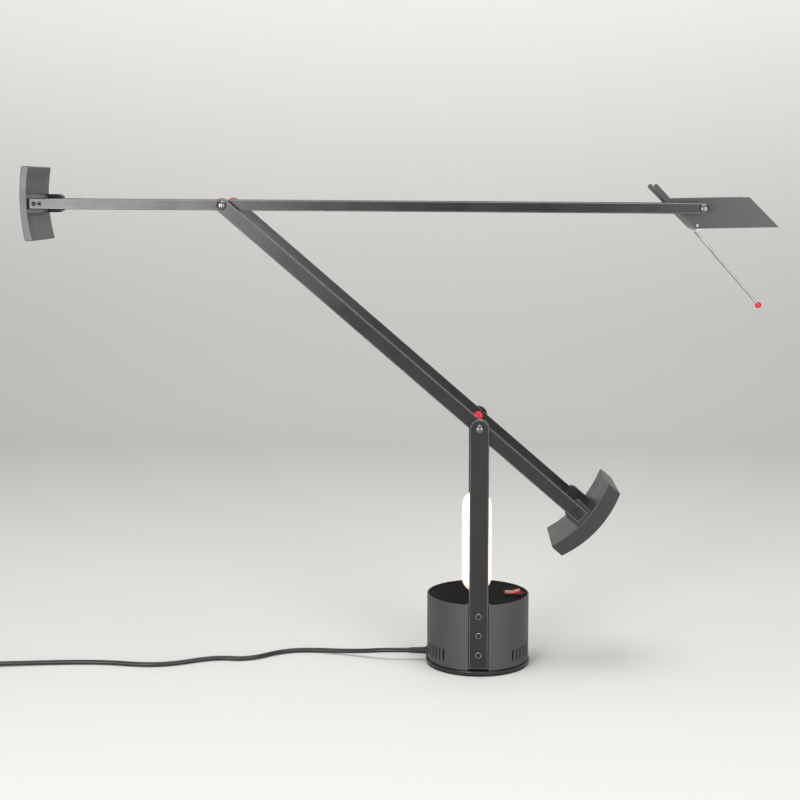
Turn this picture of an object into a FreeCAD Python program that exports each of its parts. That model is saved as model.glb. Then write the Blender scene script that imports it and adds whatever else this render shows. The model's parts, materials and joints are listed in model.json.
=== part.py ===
import FreeCAD, Part
import math
import os
import Sketcher
from types import SimpleNamespace
from FreeCAD import Placement, Rotation, Vector

# Counterweight balance desk lamp, in millimetres.  Origin: centre of the foot's underside on the
# table.  +X points to the lamp head, +Y away from the viewer of the screw heads, +Z up.

SIZES = {
    # foot and swivel
    "foot_radius": 56.0,
    "foot_underside": 2.3,
    "foot_top": 5.6,
    "foot_edge_round": 0.9,
    "pad_radius": 54.4,
    "pad_thickness": 3.4,
    "ring_inner_radius": 20.0,
    "ring_outer_radius": 34.0,
    "ring_top": 6.1,
    "post_radius": 6.0,
    "post_clearance": 0.06,
    "post_top": 11.2,
    "clip_radius": 8.6,
    "clip_bottom": 8.7,
    "clip_top": 10.2,
    # housing
    "housing_radius": 54.5,
    "housing_bottom": 6.4,
    "housing_top": 76.4,
    "wall": 1.5,
    "plate_thickness": 2.0,
    "top_plate_surface": 75.8,
    "groove_width": 21.4,
    "seat_gap": 0.1,
    "vent_width": 2.7,
    "vent_height": 13.0,
    "vent_centre_height": 19.0,
    "vent_pitch_angle": 6.3,
    "vent_first_angle": 42.2,
    "cord_exit_height": 11.0,
    "cord_exit_depth": 1.5,
    "gland_radius": 4.0,
    # stem
    "stem_width": 20.0,
    "stem_thickness": 4.5,
    "stem_inner": 48.7,
    "stem_foot_drop": 254.4,
    "stem_pivot_height": 262.0,
    "stem_screw_low_drop": 239.0,
    "stem_screw_mid_drop": 218.2,
    "stem_screw_high_drop": 197.6,
    "stem_screw_hole": 2.1,
    "nut_plate_width": 14.0,
    "nut_plate_thickness": 2.6,
    "nut_plate_length": 51.0,
    # lower arm
    "lower_height": 14.2,
    "lower_thickness": 3.6,
    "lower_inner": 43.8,
    "lower_reach": 348.0,
    "lower_tail": 142.6,
    "lower_angle": 40.95,
    # upper arm
    "upper_height": 10.8,
    "upper_thickness": 3.2,
    "upper_inner": 36.3,
    "upper_reach": 488.3,
    "upper_tail": 199.6,
    "upper_angle": 0.47,
    # pivots
    "stem_pin_radius": 3.0,
    "elbow_pin_radius": 2.6,
    "head_pin_radius": 2.4,
    "pin_clearance": 0.06,
    "bar_edge": 0.7,
    # counterweights
    "weight_half_width": 44.5,
    "large_screw_at": 130.7,
    "large_pin_at": 137.1,
    "small_screw_at": 188.6,
    "small_pin_at": 194.2,
    "weight_screw_hole": 1.7,
    # head
    "head_half_width": 24.0,
    "head_sheet": 1.2,
    "head_angle": -1.0,
    "spacer_spigot_radius": 3.2,
    # cord
    "cord_diameter": 5.0,
    "coil_outer_radius": 39.0,
    "coil_pitch": 5.6,
}
size = SimpleNamespace(**SIZES)

FRONT = -1
BACK = 1
SIDES = (FRONT, BACK)

os.makedirs("parts", exist_ok=True)
doc = FreeCAD.newDocument("BalanceLamp")
sheet = doc.addObject("Spreadsheet::Sheet", "Dims")
for row, (alias, value) in enumerate(SIZES.items(), 1):
    sheet.set("A%d" % row, alias)
    sheet.set("B%d" % row, str(value))
    sheet.setAlias("B%d" % row, alias)
doc.recompute()

sub_parts = []


# ---------------------------------------------------------------- general helpers

def keep(feature, label, placement=None):
    """Register a feature as a sub-part whose label names its file."""
    feature.Label = label
    if placement is not None:
        feature.Placement = placement
    sub_parts.append(feature)
    return feature


def plain_feature(label, shape):
    """A sub-part whose shape is set directly."""
    return keep_shape(doc.addObject("Part::Feature", label), label, shape)


def keep_shape(feature, label, shape):
    feature.Shape = shape
    return keep(feature, label)


def body_named(name):
    return doc.addObject("PartDesign::Body", name)


def origin_feature(body, role):
    for feature in body.Origin.OriginFeatures:
        if feature.Role == role:
            return feature
    raise ValueError("no origin feature " + role)


def sketch_on(body, plane, name, offset=None, offset_formula=None):
    """A sketch on one of the body's origin planes, moved along its normal."""
    sketch = body.newObject("Sketcher::SketchObject", name)
    sketch.AttachmentSupport = [(origin_feature(body, plane), "")]
    sketch.MapMode = "FlatFace"
    if offset is not None:
        sketch.AttachmentOffset = offset
    if offset_formula:
        sketch.setExpression("AttachmentOffset.Base.z", offset_formula)
    return sketch


def add_outline(sketch, start, *segments):
    """A closed outline: each segment is an end point, or a (middle, end) pair for an arc."""
    here = start
    first = sketch.GeometryCount
    for segment in segments:
        if isinstance(segment[0], tuple):
            middle, end = segment
            arc = Part.Arc(Vector(*here, 0), Vector(*middle, 0), Vector(*end, 0))
            sketch.addGeometry(arc, False)
        else:
            end = segment
            sketch.addGeometry(Part.LineSegment(Vector(*here, 0), Vector(*end, 0)), False)
        here = end
    if math.dist(here, start) > 1e-6:
        sketch.addGeometry(Part.LineSegment(Vector(*here, 0), Vector(*start, 0)), False)
    return first


def add_rectangle(sketch, low_x, low_y, high_x, high_y):
    add_outline(sketch, (low_x, low_y), (high_x, low_y), (high_x, high_y), (low_x, high_y))


def add_circle(sketch, centre, radius, radius_formula=None):
    circle = Part.Circle(Vector(*centre, 0), Vector(0, 0, 1), radius)
    index = sketch.addGeometry(circle, False)
    if radius_formula:
        constraint = sketch.addConstraint(Sketcher.Constraint("Radius", index, radius))
        sketch.setExpression("Constraints[%d]" % constraint, radius_formula)
    return index


def place_point(sketch, geometry, point, alias, sign):
    """Fix a sketch point on the X axis at plus or minus the named size."""
    distance = sign * SIZES[alias]
    index = sketch.addConstraint(
        Sketcher.Constraint("DistanceX", -1, 1, geometry, point, distance))
    formula = "Dims." + alias if sign > 0 else "-Dims." + alias
    sketch.setExpression("Constraints[%d]" % index, formula)


def pad(body, sketch, name, length=None, formula=None, symmetric=False, reverse=False):
    feature = body.newObject("PartDesign::Pad", name)
    feature.Profile = sketch
    if length is not None:
        feature.Length = length
    if formula:
        feature.setExpression("Length", formula)
    feature.Midplane = symmetric
    feature.Reversed = reverse
    sketch.Visibility = False
    return feature


def pocket(body, sketch, name, length=None, formula=None, through=False, symmetric=False,
           reverse=False):
    feature = body.newObject("PartDesign::Pocket", name)
    feature.Profile = sketch
    if through:
        feature.Type = "ThroughAll"
    elif length is not None:
        feature.Length = length
    if formula:
        feature.setExpression("Length", formula)
    feature.Midplane = symmetric
    feature.Reversed = reverse
    sketch.Visibility = False
    return feature


def revolution(body, sketch, name):
    feature = body.newObject("PartDesign::Revolution", name)
    feature.Profile = sketch
    feature.ReferenceAxis = (sketch, ["V_Axis"])
    feature.Angle = 360.0
    sketch.Visibility = False
    return feature


def edge_names(feature, wanted):
    """Names of the feature's edges for which wanted(edge) is true."""
    doc.recompute()
    return ["Edge%d" % number for number, edge in enumerate(feature.Shape.Edges, 1) if wanted(edge)]


def lies_at(edge, axis, value):
    box = edge.BoundBox
    low, high = {"x": (box.XMin, box.XMax), "y": (box.YMin, box.YMax),
                 "z": (box.ZMin, box.ZMax)}[axis]
    return abs(low - value) < 1e-4 and abs(high - value) < 1e-4


def runs_along_y(edge):
    box = edge.BoundBox
    return box.YLength > 1.0 and box.XLength < 1e-4 and box.ZLength < 1e-4


def chamfer(body, base, name, edges, formula):
    feature = body.newObject("PartDesign::Chamfer", name)
    feature.Base = (base, edges)
    feature.setExpression("Size", formula)
    return feature


def fillet(body, base, name, edges, radius):
    feature = body.newObject("PartDesign::Fillet", name)
    feature.Base = (base, edges)
    feature.Radius = radius
    return feature


def turned(name, start, *segments):
    """A body turned about its own Z axis from an outline of (radius, height) points."""
    body = body_named(name)
    sketch = sketch_on(body, "XZ_Plane", name + "_outline")
    add_outline(sketch, start, *segments)
    body.Tip = revolution(body, sketch, name + "_turn")
    return body


def hex_socket(body, across_flats, depth, top):
    """Cut a hexagon socket down from the height top of a turned body."""
    corner = across_flats / math.sqrt(3.0)
    corners = [(corner * math.cos(math.radians(60 * k)), corner * math.sin(math.radians(60 * k)))
               for k in range(6)]
    sketch = sketch_on(body, "XY_Plane", body.Name + "_socket", Placement(Vector(0, 0, top),
                                                                          Rotation()))
    add_outline(sketch, corners[0], *corners[1:])
    body.Tip = pocket(body, sketch, body.Name + "_socket_cut", length=depth)
    return body


def facing(side, x, face, z):
    """Placement that turns a body's +Z axis outward through the front or the back face."""
    turn = Rotation(Vector(1, 0, 0), 90.0 if side == FRONT else -90.0)
    return Placement(Vector(x, side * face, z), turn)


def group(label, body, placements, frame=Placement()):
    """One node with a separate copy of the body's solid at each placement."""
    doc.recompute()
    copies = []
    for placement in placements:
        copy = body.Shape.copy()
        copy.Placement = frame.multiply(placement)
        copies.append(copy)
    body.Visibility = False
    return plain_feature(label, Part.makeCompound(copies))


def hexagonal_screw(name, head_radius, head_height, shank_radius, shank_length, socket):
    """Cylinder-head screw with its head's seat at height 0."""
    edge = 0.3
    body = turned(name, (0, -shank_length), (shank_radius, -shank_length), (shank_radius, 0),
                  (head_radius, 0), (head_radius, head_height - edge),
                  (head_radius - edge, head_height), (0, head_height))
    return hex_socket(body, socket, 0.8 * head_height, head_height)


def dome_pin(name, head_radius, head_height, shank_radius, shank_length, socket):
    """Pivot pin: a dome head with a hexagon socket, seated at height 0, and a plain shank."""
    bow = (head_radius * 0.72, head_height * 0.78)
    body = turned(name, (0, -shank_length), (shank_radius - 0.3, -shank_length),
                  (shank_radius, -shank_length + 0.3), (shank_radius, 0), (head_radius, 0),
                  (head_radius, 0.5), (bow, (0, head_height)))
    return hex_socket(body, socket, 0.6 * head_height, head_height)


# ---------------------------------------------------------------- frames of the moving groups

STEM_FRAME = Placement(Vector(0, 0, size.stem_pivot_height), Rotation(Vector(0, 1, 0), -90))
LOWER_FRAME = Placement(Vector(0, 0, size.stem_pivot_height),
                        Rotation(Vector(0, 1, 0), size.lower_angle))
ELBOW = LOWER_FRAME.multVec(Vector(-size.lower_reach, 0, 0))
UPPER_FRAME = Placement(ELBOW, Rotation(Vector(0, 1, 0), size.upper_angle))
HEAD_PIVOT = UPPER_FRAME.multVec(Vector(size.upper_reach, 0, 0))
HEAD_FRAME = Placement(HEAD_PIVOT, Rotation(Vector(0, 1, 0), size.head_angle))


# ---------------------------------------------------------------- bars of the stem and the arms

def bar(label, side, frame, kind, round_at, square_at, holes):
    """A flat bar along X with one round end, chamfered on its outer edges and drilled.

    kind names the sizes kind_inner, kind_thickness and its height or width; round_at and
    square_at are (alias, sign) pairs; holes are (alias, sign, radius formula, radius) rows.
    """
    height_alias = "stem_width" if kind == "stem" else kind + "_height"
    radius = SIZES[height_alias] / 2
    round_x = round_at[1] * SIZES[round_at[0]] if round_at[0] else 0.0
    square_x = square_at[1] * SIZES[square_at[0]]
    toward = 1 if round_x > square_x else -1

    body = body_named(label)
    inner = SIZES[kind + "_inner"]
    thickness = SIZES[kind + "_thickness"]
    if side == FRONT:
        formula = "Dims.%s_inner" % kind
    else:
        formula = "-Dims.%s_inner - Dims.%s_thickness" % (kind, kind)
    sketch = sketch_on(body, "XZ_Plane", label + "_outline", offset_formula=formula)
    low = toward * -radius
    circle = Part.Circle(Vector(round_x, 0, 0), Vector(0, 0, 1), radius)
    start_angle = -toward * math.pi / 2
    arc = sketch.addGeometry(Part.ArcOfCircle(circle, start_angle, start_angle + math.pi), False)
    lead = sketch.addGeometry(
        Part.LineSegment(Vector(square_x, low, 0), Vector(round_x, low, 0)), False)
    back = sketch.addGeometry(
        Part.LineSegment(Vector(round_x, -low, 0), Vector(square_x, -low, 0)), False)
    end = sketch.addGeometry(
        Part.LineSegment(Vector(square_x, -low, 0), Vector(square_x, low, 0)), False)
    sketch.addConstraint(Sketcher.Constraint("Tangent", lead, 2, arc, 1))
    sketch.addConstraint(Sketcher.Constraint("Tangent", arc, 2, back, 1))
    sketch.addConstraint(Sketcher.Constraint("Coincident", back, 2, end, 1))
    sketch.addConstraint(Sketcher.Constraint("Coincident", end, 2, lead, 1))
    sketch.addConstraint(Sketcher.Constraint("Horizontal", lead))
    sketch.addConstraint(Sketcher.Constraint("Horizontal", back))
    sketch.addConstraint(Sketcher.Constraint("Vertical", end))
    index = sketch.addConstraint(Sketcher.Constraint("Radius", arc, radius))
    sketch.setExpression("Constraints[%d]" % index, "Dims.%s / 2" % height_alias)
    if round_at[0]:
        sketch.addConstraint(Sketcher.Constraint("PointOnObject", arc, 3, -1))
        place_point(sketch, arc, 3, *round_at)
    else:
        sketch.addConstraint(Sketcher.Constraint("Coincident", arc, 3, -1, 1))
    place_point(sketch, end, 1, *square_at)
    blank = pad(body, sketch, label + "_blank", thickness, "Dims.%s_thickness" % kind)

    outer_face = side * (inner + thickness)
    edges = edge_names(blank, lambda edge: lies_at(edge, "y", outer_face))
    trimmed = chamfer(body, blank, label + "_edges", edges, "Dims.bar_edge")

    drilling = sketch_on(body, "XZ_Plane", label + "_drilling")
    for alias, sign, radius_formula, hole_radius in holes:
        centre = sign * SIZES[alias] if alias else 0.0
        circle = add_circle(drilling, (centre, 0), hole_radius, radius_formula)
        if alias:
            drilling.addConstraint(Sketcher.Constraint("PointOnObject", circle, 3, -1))
            place_point(drilling, circle, 3, alias, sign)
        else:
            drilling.addConstraint(Sketcher.Constraint("Coincident", circle, 3, -1, 1))
    body.Tip = pocket(body, drilling, label + "_holes", through=True, symmetric=True)
    doc.recompute()
    expected = trimmed.Shape.Volume - sum(math.pi * row[3] ** 2 * thickness for row in holes)
    if abs(body.Shape.Volume - expected) > 0.02 * expected:
        raise ValueError("the drilling missed the bar " + label)
    return keep(body, label, frame)


def stem_bars():
    clear = ("Dims.stem_screw_hole", size.stem_screw_hole)
    for side, name in zip(SIDES, ("stem_bar_front", "stem_bar_back")):
        bar(name, side, STEM_FRAME, "stem", ("", 0), ("stem_foot_drop", -1), [
            ("", 0, "Dims.stem_pin_radius", size.stem_pin_radius),
            ("stem_screw_low_drop", -1) + clear,
            ("stem_screw_mid_drop", -1) + clear,
            ("stem_screw_high_drop", -1) + clear,
        ])


def lower_bars():
    screw = ("Dims.weight_screw_hole", size.weight_screw_hole)
    for side, name in zip(SIDES, ("lower_bar_front", "lower_bar_back")):
        bar(name, side, LOWER_FRAME, "lower", ("lower_reach", -1), ("lower_tail", 1), [
            ("", 0, "Dims.stem_pin_radius + Dims.pin_clearance",
             size.stem_pin_radius + size.pin_clearance),
            ("lower_reach", -1, "Dims.elbow_pin_radius", size.elbow_pin_radius),
            ("large_screw_at", 1) + screw,
            ("large_pin_at", 1) + screw,
        ])


def upper_bars():
    screw = ("Dims.weight_screw_hole", size.weight_screw_hole)
    for side, name in zip(SIDES, ("upper_bar_front", "upper_bar_back")):
        bar(name, side, UPPER_FRAME, "upper", ("upper_reach", 1), ("upper_tail", -1), [
            ("", 0, "Dims.elbow_pin_radius + Dims.pin_clearance",
             size.elbow_pin_radius + size.pin_clearance),
            ("upper_reach", 1, "Dims.head_pin_radius", size.head_pin_radius),
            ("small_screw_at", -1) + screw,
            ("small_pin_at", -1) + screw,
        ])


# ---------------------------------------------------------------- foot and swivel

def foot():
    disc = body_named("foot_disc")
    sketch = sketch_on(disc, "XY_Plane", "foot_outline", offset_formula="Dims.foot_underside")
    add_circle(sketch, (0, 0), size.foot_radius, "Dims.foot_radius")
    blank = pad(disc, sketch, "foot_blank", size.foot_top - size.foot_underside,
                "Dims.foot_top - Dims.foot_underside")
    rim = edge_names(blank, lambda edge: edge.BoundBox.ZLength < 1e-4)
    rounded = fillet(disc, blank, "foot_rim", rim, size.foot_edge_round)
    rounded.setExpression("Radius", "Dims.foot_edge_round")
    recess = sketch_on(disc, "XY_Plane", "foot_recess_outline")
    add_circle(recess, (0, 0), size.pad_radius + size.seat_gap, "Dims.pad_radius + Dims.seat_gap")
    recessed = pocket(disc, recess, "foot_recess", size.pad_thickness, "Dims.pad_thickness",
                      reverse=True)
    bore = sketch_on(disc, "XY_Plane", "foot_bore_outline")
    add_circle(bore, (0, 0), size.post_radius, "Dims.post_radius")
    disc.Tip = pocket(disc, bore, "foot_bore", through=True, symmetric=True)
    doc.recompute()
    if disc.Shape.Volume > recessed.Shape.Volume - 1:
        raise ValueError("the foot's bore missed")
    keep(disc, "foot_disc")

    sole = doc.addObject("Part::Cylinder", "foot_pad")
    sole.setExpression("Radius", "Dims.pad_radius")
    sole.setExpression("Height", "Dims.pad_thickness")
    keep(sole, "foot_pad")

    ring = body_named("thrust_ring")
    sketch = sketch_on(ring, "XY_Plane", "ring_outline", offset_formula="Dims.foot_top")
    add_circle(sketch, (0, 0), size.ring_outer_radius, "Dims.ring_outer_radius")
    add_circle(sketch, (0, 0), size.ring_inner_radius, "Dims.ring_inner_radius")
    ring.Tip = pad(ring, sketch, "ring_pad", size.ring_top - size.foot_top,
                   "Dims.ring_top - Dims.foot_top")
    keep(ring, "thrust_ring")


def swivel():
    groove_depth = 0.8
    radius = size.post_radius
    post = turned("swivel_post", (0, size.pad_thickness), (radius, size.pad_thickness),
                  (radius, size.clip_bottom), (radius - groove_depth, size.clip_bottom),
                  (radius - groove_depth, size.clip_top), (radius, size.clip_top),
                  (radius, size.post_top - 0.5), (radius - 0.5, size.post_top),
                  (0, size.post_top))
    keep(post, "swivel_post")
    clip = turned("swivel_clip", (radius - groove_depth, size.clip_bottom),
                  (size.clip_radius, size.clip_bottom), (size.clip_radius, size.clip_top),
                  (radius - groove_depth, size.clip_top))
    mouth = sketch_on(clip, "XY_Plane", "clip_mouth_outline")
    mouth_half = 3.0
    add_rectangle(mouth, 0, -mouth_half, size.clip_radius + 1, mouth_half)
    clip.Tip = pocket(clip, mouth, "clip_mouth", through=True, symmetric=True)
    keep(clip, "swivel_clip")


# ---------------------------------------------------------------- housing

def inner_outline(sketch, gap):
    """The housing's inside: a circle with a flat jog behind each groove, drawn in by gap."""
    radius = size.housing_radius - size.wall - gap
    half = size.groove_width / 2 + size.wall + gap
    floor = size.stem_inner - size.wall - gap
    on_circle = math.sqrt(radius ** 2 - half ** 2)
    add_outline(sketch, (-half, -floor), (half, -floor), (half, -on_circle),
                ((radius, 0), (half, on_circle)), (half, floor), (-half, floor),
                (-half, on_circle), ((-radius, 0), (-half, -on_circle)))


def vent_group(body, name, first_angle, step_angle):
    """Six upright slots through the wall, turned about Z from the front."""
    slots = 6
    outside = size.housing_radius + 3.0
    turn = Rotation(Vector(0, 1, 0), first_angle)
    offset = Placement(turn.multVec(Vector(0, 0, outside)), turn)
    sketch = sketch_on(body, "XZ_Plane", name + "_outline", offset)
    half = size.vent_width / 2
    low = size.vent_centre_height - size.vent_height / 2 + half
    high = size.vent_centre_height + size.vent_height / 2 - half
    add_outline(sketch, (half, low), (half, high), ((0, high + half), (-half, high)),
                (-half, low), ((0, low - half), (half, low)))
    slot = pocket(body, sketch, name + "_slot", 3.0 + 3 * size.wall)
    pattern = body.newObject("PartDesign::PolarPattern", name)
    pattern.Originals = [slot]
    pattern.Axis = (origin_feature(body, "Z_Axis"), [""])
    pattern.Angle = abs(step_angle) * (slots - 1)
    pattern.Reversed = step_angle < 0
    pattern.Occurrences = slots
    body.Tip = pattern
    return pattern


def housing_shell():
    body = body_named("housing_shell")
    outline = sketch_on(body, "XY_Plane", "shell_outline", offset_formula="Dims.housing_bottom")
    add_circle(outline, (0, 0), size.housing_radius, "Dims.housing_radius")
    pad(body, outline, "shell_blank", size.housing_top - size.housing_bottom,
        "Dims.housing_top - Dims.housing_bottom")

    grooves = sketch_on(body, "XY_Plane", "groove_outlines")
    half = size.groove_width / 2
    for side in SIDES:
        faces = sorted((side * size.stem_inner, side * (size.housing_radius + 1)))
        add_rectangle(grooves, -half, faces[0], half, faces[1])
    pocket(body, grooves, "shell_grooves", through=True, symmetric=True)

    cavity = sketch_on(body, "XY_Plane", "cavity_outline")
    inner_outline(cavity, 0.0)
    hollow = pocket(body, cavity, "shell_cavity", through=True, symmetric=True)

    rim = edge_names(hollow, lambda edge: lies_at(edge, "z", size.housing_top)
                     and edge.BoundBox.XLength > size.groove_width + 2
                     and abs(edge.Curve.Radius - size.housing_radius) < 0.01
                     if hasattr(edge.Curve, "Radius") else False)
    fillet(body, hollow, "shell_rim", rim, 0.6)

    holes = sketch_on(body, "XZ_Plane", "shell_screw_holes")
    for drop in (size.stem_screw_low_drop, size.stem_screw_mid_drop, size.stem_screw_high_drop):
        add_circle(holes, (0, size.stem_pivot_height - drop), size.stem_screw_hole,
                   "Dims.stem_screw_hole")
    pocket(body, holes, "shell_screw_drilling", through=True, symmetric=True)

    exit_hole = sketch_on(body, "YZ_Plane", "cord_exit_outline")
    add_circle(exit_hole, (size.cord_exit_depth, size.cord_exit_height), size.gland_radius,
               "Dims.gland_radius")
    pocket(body, exit_hole, "cord_exit", through=True)

    first = size.vent_first_angle
    pitch = size.vent_pitch_angle
    vent_group(body, "vents_front_right", first, pitch)
    vent_group(body, "vents_front_left", -first, -pitch)
    vent_group(body, "vents_back_right", 180 - first, -pitch)
    vent_group(body, "vents_back_left", 180 + first, pitch)
    keep(body, "housing_shell")


def base_plate():
    body = body_named("base_plate")
    sketch = sketch_on(body, "XY_Plane", "base_outline", offset_formula="Dims.housing_bottom")
    inner_outline(sketch, size.seat_gap)
    add_circle(sketch, (0, 0), size.post_radius + size.post_clearance,
               "Dims.post_radius + Dims.post_clearance")
    body.Tip = pad(body, sketch, "base_sheet", size.plate_thickness, "Dims.plate_thickness")
    keep(body, "base_plate")


SWITCH_X = 37.6
SWITCH_HALF_LENGTH = 9.3
SWITCH_HALF_WIDTH = 6.5
SOCKET_X = -1.5
SOCKET_SPIGOT_RADIUS = 5.8
COVER_SCREWS_X = (-48.0, 49.6)
COVER_SCREW_HOLE = 1.2


def top_plate():
    body = body_named("top_plate")
    bottom = size.top_plate_surface - size.plate_thickness
    sketch = sketch_on(body, "XY_Plane", "top_outline",
                       offset_formula="Dims.top_plate_surface - Dims.plate_thickness")
    inner_outline(sketch, size.seat_gap)
    pad(body, sketch, "top_sheet", size.plate_thickness, "Dims.plate_thickness")
    cut_outs = sketch_on(body, "XY_Plane", "top_cut_outs", Placement(Vector(0, 0, bottom),
                                                                     Rotation()))
    add_circle(cut_outs, (SOCKET_X, 0), SOCKET_SPIGOT_RADIUS)
    add_rectangle(cut_outs, SWITCH_X - SWITCH_HALF_LENGTH, -SWITCH_HALF_WIDTH,
                  SWITCH_X + SWITCH_HALF_LENGTH, SWITCH_HALF_WIDTH)
    for x in COVER_SCREWS_X:
        add_circle(cut_outs, (x, 0), COVER_SCREW_HOLE)
    body.Tip = pocket(body, cut_outs, "top_openings", through=True, reverse=True)
    keep(body, "top_plate")


def cover_screws():
    screw = turned("cover_screw", (0, -6.0), (COVER_SCREW_HOLE, -6.0), (COVER_SCREW_HOLE, 0),
                   (2.0, 0), ((1.5, 0.58), (0.5, 0.8)), (0, 0.8))
    places = [Placement(Vector(x, 0, size.top_plate_surface), Rotation())
              for x in COVER_SCREWS_X]
    group("cover_screws", screw, places)


def transformer():
    corner = 6.0
    bottom = size.housing_bottom + size.plate_thickness
    top = bottom + 42.0
    inner, outer = 13.2, 41.0
    bow = corner * (1 - math.sqrt(0.5))
    coil = turned("transformer_winding", (inner + corner, bottom), (outer - corner, bottom),
                  ((outer - bow, bottom + bow), (outer, bottom + corner)),
                  (outer, top - corner), ((outer - bow, top - bow), (outer - corner, top)),
                  (inner + corner, top), ((inner + bow, top - bow), (inner, top - corner)),
                  (inner, bottom + corner),
                  ((inner + bow, bottom + bow), (inner + corner, bottom)))
    keep(coil, "transformer_winding")

    hub_radius = 12.6
    bolt_radius = 3.0
    chamber_radius = 10.2
    chamber_top = size.post_top + 1.4
    hub_top = top - 4.0
    hub = turned("transformer_hub", (chamber_radius, bottom), (hub_radius, bottom),
                 (hub_radius, hub_top), (bolt_radius, hub_top), (bolt_radius, hub_top - 22.0),
                 (0, hub_top - 22.0), (0, chamber_top), (chamber_radius, chamber_top))
    keep(hub, "transformer_hub")

    washer_radius = 26.0
    dish = hub_top + 0.4
    washer = turned("transformer_washer", (bolt_radius, dish), (10.0, dish), (15.0, top),
                    (washer_radius, top), (washer_radius, top + 1.5), (14.4, top + 1.5),
                    (9.4, dish + 1.5), (bolt_radius, dish + 1.5))
    keep(washer, "transformer_washer")
    bolt = hexagonal_screw("transformer_bolt", 5.0, 4.0, bolt_radius, 20.0, 5.0)
    bolt.Placement = Placement(Vector(0, 0, dish + 1.5), Rotation())
    keep(bolt, "transformer_bolt")

    block = body_named("terminal_block")
    sketch = sketch_on(block, "XY_Plane", "block_outline", Placement(Vector(0, 0, top),
                                                                     Rotation()))
    left, right, half = -39.0, -27.5, 15.0
    add_rectangle(sketch, left, -half, right, half)
    height = 10.0
    pad(block, sketch, "block_blank", height)
    wire_holes = sketch_on(block, "YZ_Plane", "block_wire_holes")
    screw_holes = sketch_on(block, "XY_Plane", "block_screw_holes",
                            Placement(Vector(0, 0, top + height), Rotation()))
    for y in (-10.0, 0.0, 10.0):
        add_circle(wire_holes, (y, top + 4.0), 1.8)
        add_circle(screw_holes, ((left + right) / 2, y), 1.6)
    pocket(block, wire_holes, "block_wires", through=True, symmetric=True)
    block.Tip = pocket(block, screw_holes, "block_screws", length=3.0)
    keep(block, "terminal_block")


def stem_fixings():
    drops = (size.stem_screw_low_drop, size.stem_screw_mid_drop, size.stem_screw_high_drop)
    heights = [size.stem_pivot_height - drop for drop in drops]
    plate = body_named("stem_nut_plate")
    inside = size.stem_inner - size.wall
    sketch = sketch_on(plate, "XZ_Plane", "nut_plate_outline",
                       Placement(Vector(0, 0, -inside), Rotation()))
    half = size.nut_plate_width / 2
    middle = heights[1]
    reach = size.nut_plate_length / 2
    add_rectangle(sketch, -half, middle - reach, half, middle + reach)
    for height in heights:
        add_circle(sketch, (0, height), size.stem_screw_hole)
    plate.Tip = pad(plate, sketch, "nut_plate_bar", size.nut_plate_thickness,
                    "Dims.nut_plate_thickness")
    half_turn = Placement(Vector(), Rotation(Vector(0, 0, 1), 180))
    group("stem_nut_plates", plate, [Placement(), half_turn])

    screw = hexagonal_screw("stem_screw", 3.2, 1.8, size.stem_screw_hole - 0.1, 9.6, 2.5)
    outer = size.stem_inner + size.stem_thickness
    group("stem_screws", screw, [facing(side, 0, outer, height)
                                 for side in SIDES for height in heights])


def cord_gland():
    flange, thickness = 5.0, 1.5
    neck_root, neck_tip, neck_length = 3.3, 2.7, 20.0
    outside = size.housing_radius + 0.05
    shank = size.gland_radius - 0.05
    gland = turned("cord_gland", (0, -size.wall), (shank, -size.wall), (shank, 0), (flange, 0),
                   (flange - 0.3, thickness),
                   (neck_root, thickness), (neck_tip, thickness + neck_length),
                   (0, thickness + neck_length))
    place = Placement(Vector(-outside, size.cord_exit_depth, size.cord_exit_height),
                      Rotation(Vector(0, 1, 0), -90))
    keep(gland, "cord_gland", place)


# ---------------------------------------------------------------- switch

ROCKER_TILT = 9.0
ROCKER_PIVOT_HEIGHT = 75.4
TRUNNION_RADIUS = 1.0


def switch():
    body = body_named("switch_housing")
    flange_top = size.top_plate_surface + 1.2
    flange = sketch_on(body, "XY_Plane", "bezel_outline",
                       offset_formula="Dims.top_plate_surface")
    add_rectangle(flange, SWITCH_X - 9.7, -7.6, SWITCH_X + 9.7, 7.6)
    pad(body, flange, "bezel", 1.2)
    case = sketch_on(body, "XY_Plane", "case_outline", offset_formula="Dims.top_plate_surface")
    inset = 0.1
    add_rectangle(case, SWITCH_X - SWITCH_HALF_LENGTH + inset, -SWITCH_HALF_WIDTH + inset,
                  SWITCH_X + SWITCH_HALF_LENGTH - inset, SWITCH_HALF_WIDTH - inset)
    pad(body, case, "case", 15.0, reverse=True)
    well = sketch_on(body, "XY_Plane", "well_outline", Placement(Vector(0, 0, flange_top),
                                                                 Rotation()))
    add_rectangle(well, SWITCH_X - 8.7, -5.8, SWITCH_X + 8.7, 5.8)
    pocket(body, well, "well", length=6.6)
    bearing = sketch_on(body, "XZ_Plane", "bearing_outline")
    add_circle(bearing, (SWITCH_X, ROCKER_PIVOT_HEIGHT), TRUNNION_RADIUS + size.pin_clearance)
    body.Tip = pocket(body, bearing, "bearings", length=12.6, symmetric=True)
    keep(body, "switch_housing")

    rocker = body_named("switch_rocker")
    sketch = sketch_on(rocker, "XZ_Plane", "rocker_outline")
    end, shoulder, middle, skirt = 7.9, 3.3, 1.9, -0.6
    add_outline(sketch, (-end, skirt), (-end, shoulder), (0, middle), (end, shoulder),
                (end, skirt), ((0, -3.6), (-end, skirt)))
    pad(rocker, sketch, "rocker_block", 11.0, symmetric=True)
    trunnion = sketch_on(rocker, "XZ_Plane", "trunnion_outline")
    add_circle(trunnion, (0, 0), TRUNNION_RADIUS)
    rocker.Tip = pad(rocker, trunnion, "trunnions", 12.2, symmetric=True)
    resting = Rotation(Vector(0, 1, 0), -ROCKER_TILT)
    keep(rocker, "switch_rocker", Placement(Vector(SWITCH_X, 0, ROCKER_PIVOT_HEIGHT), resting))


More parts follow.
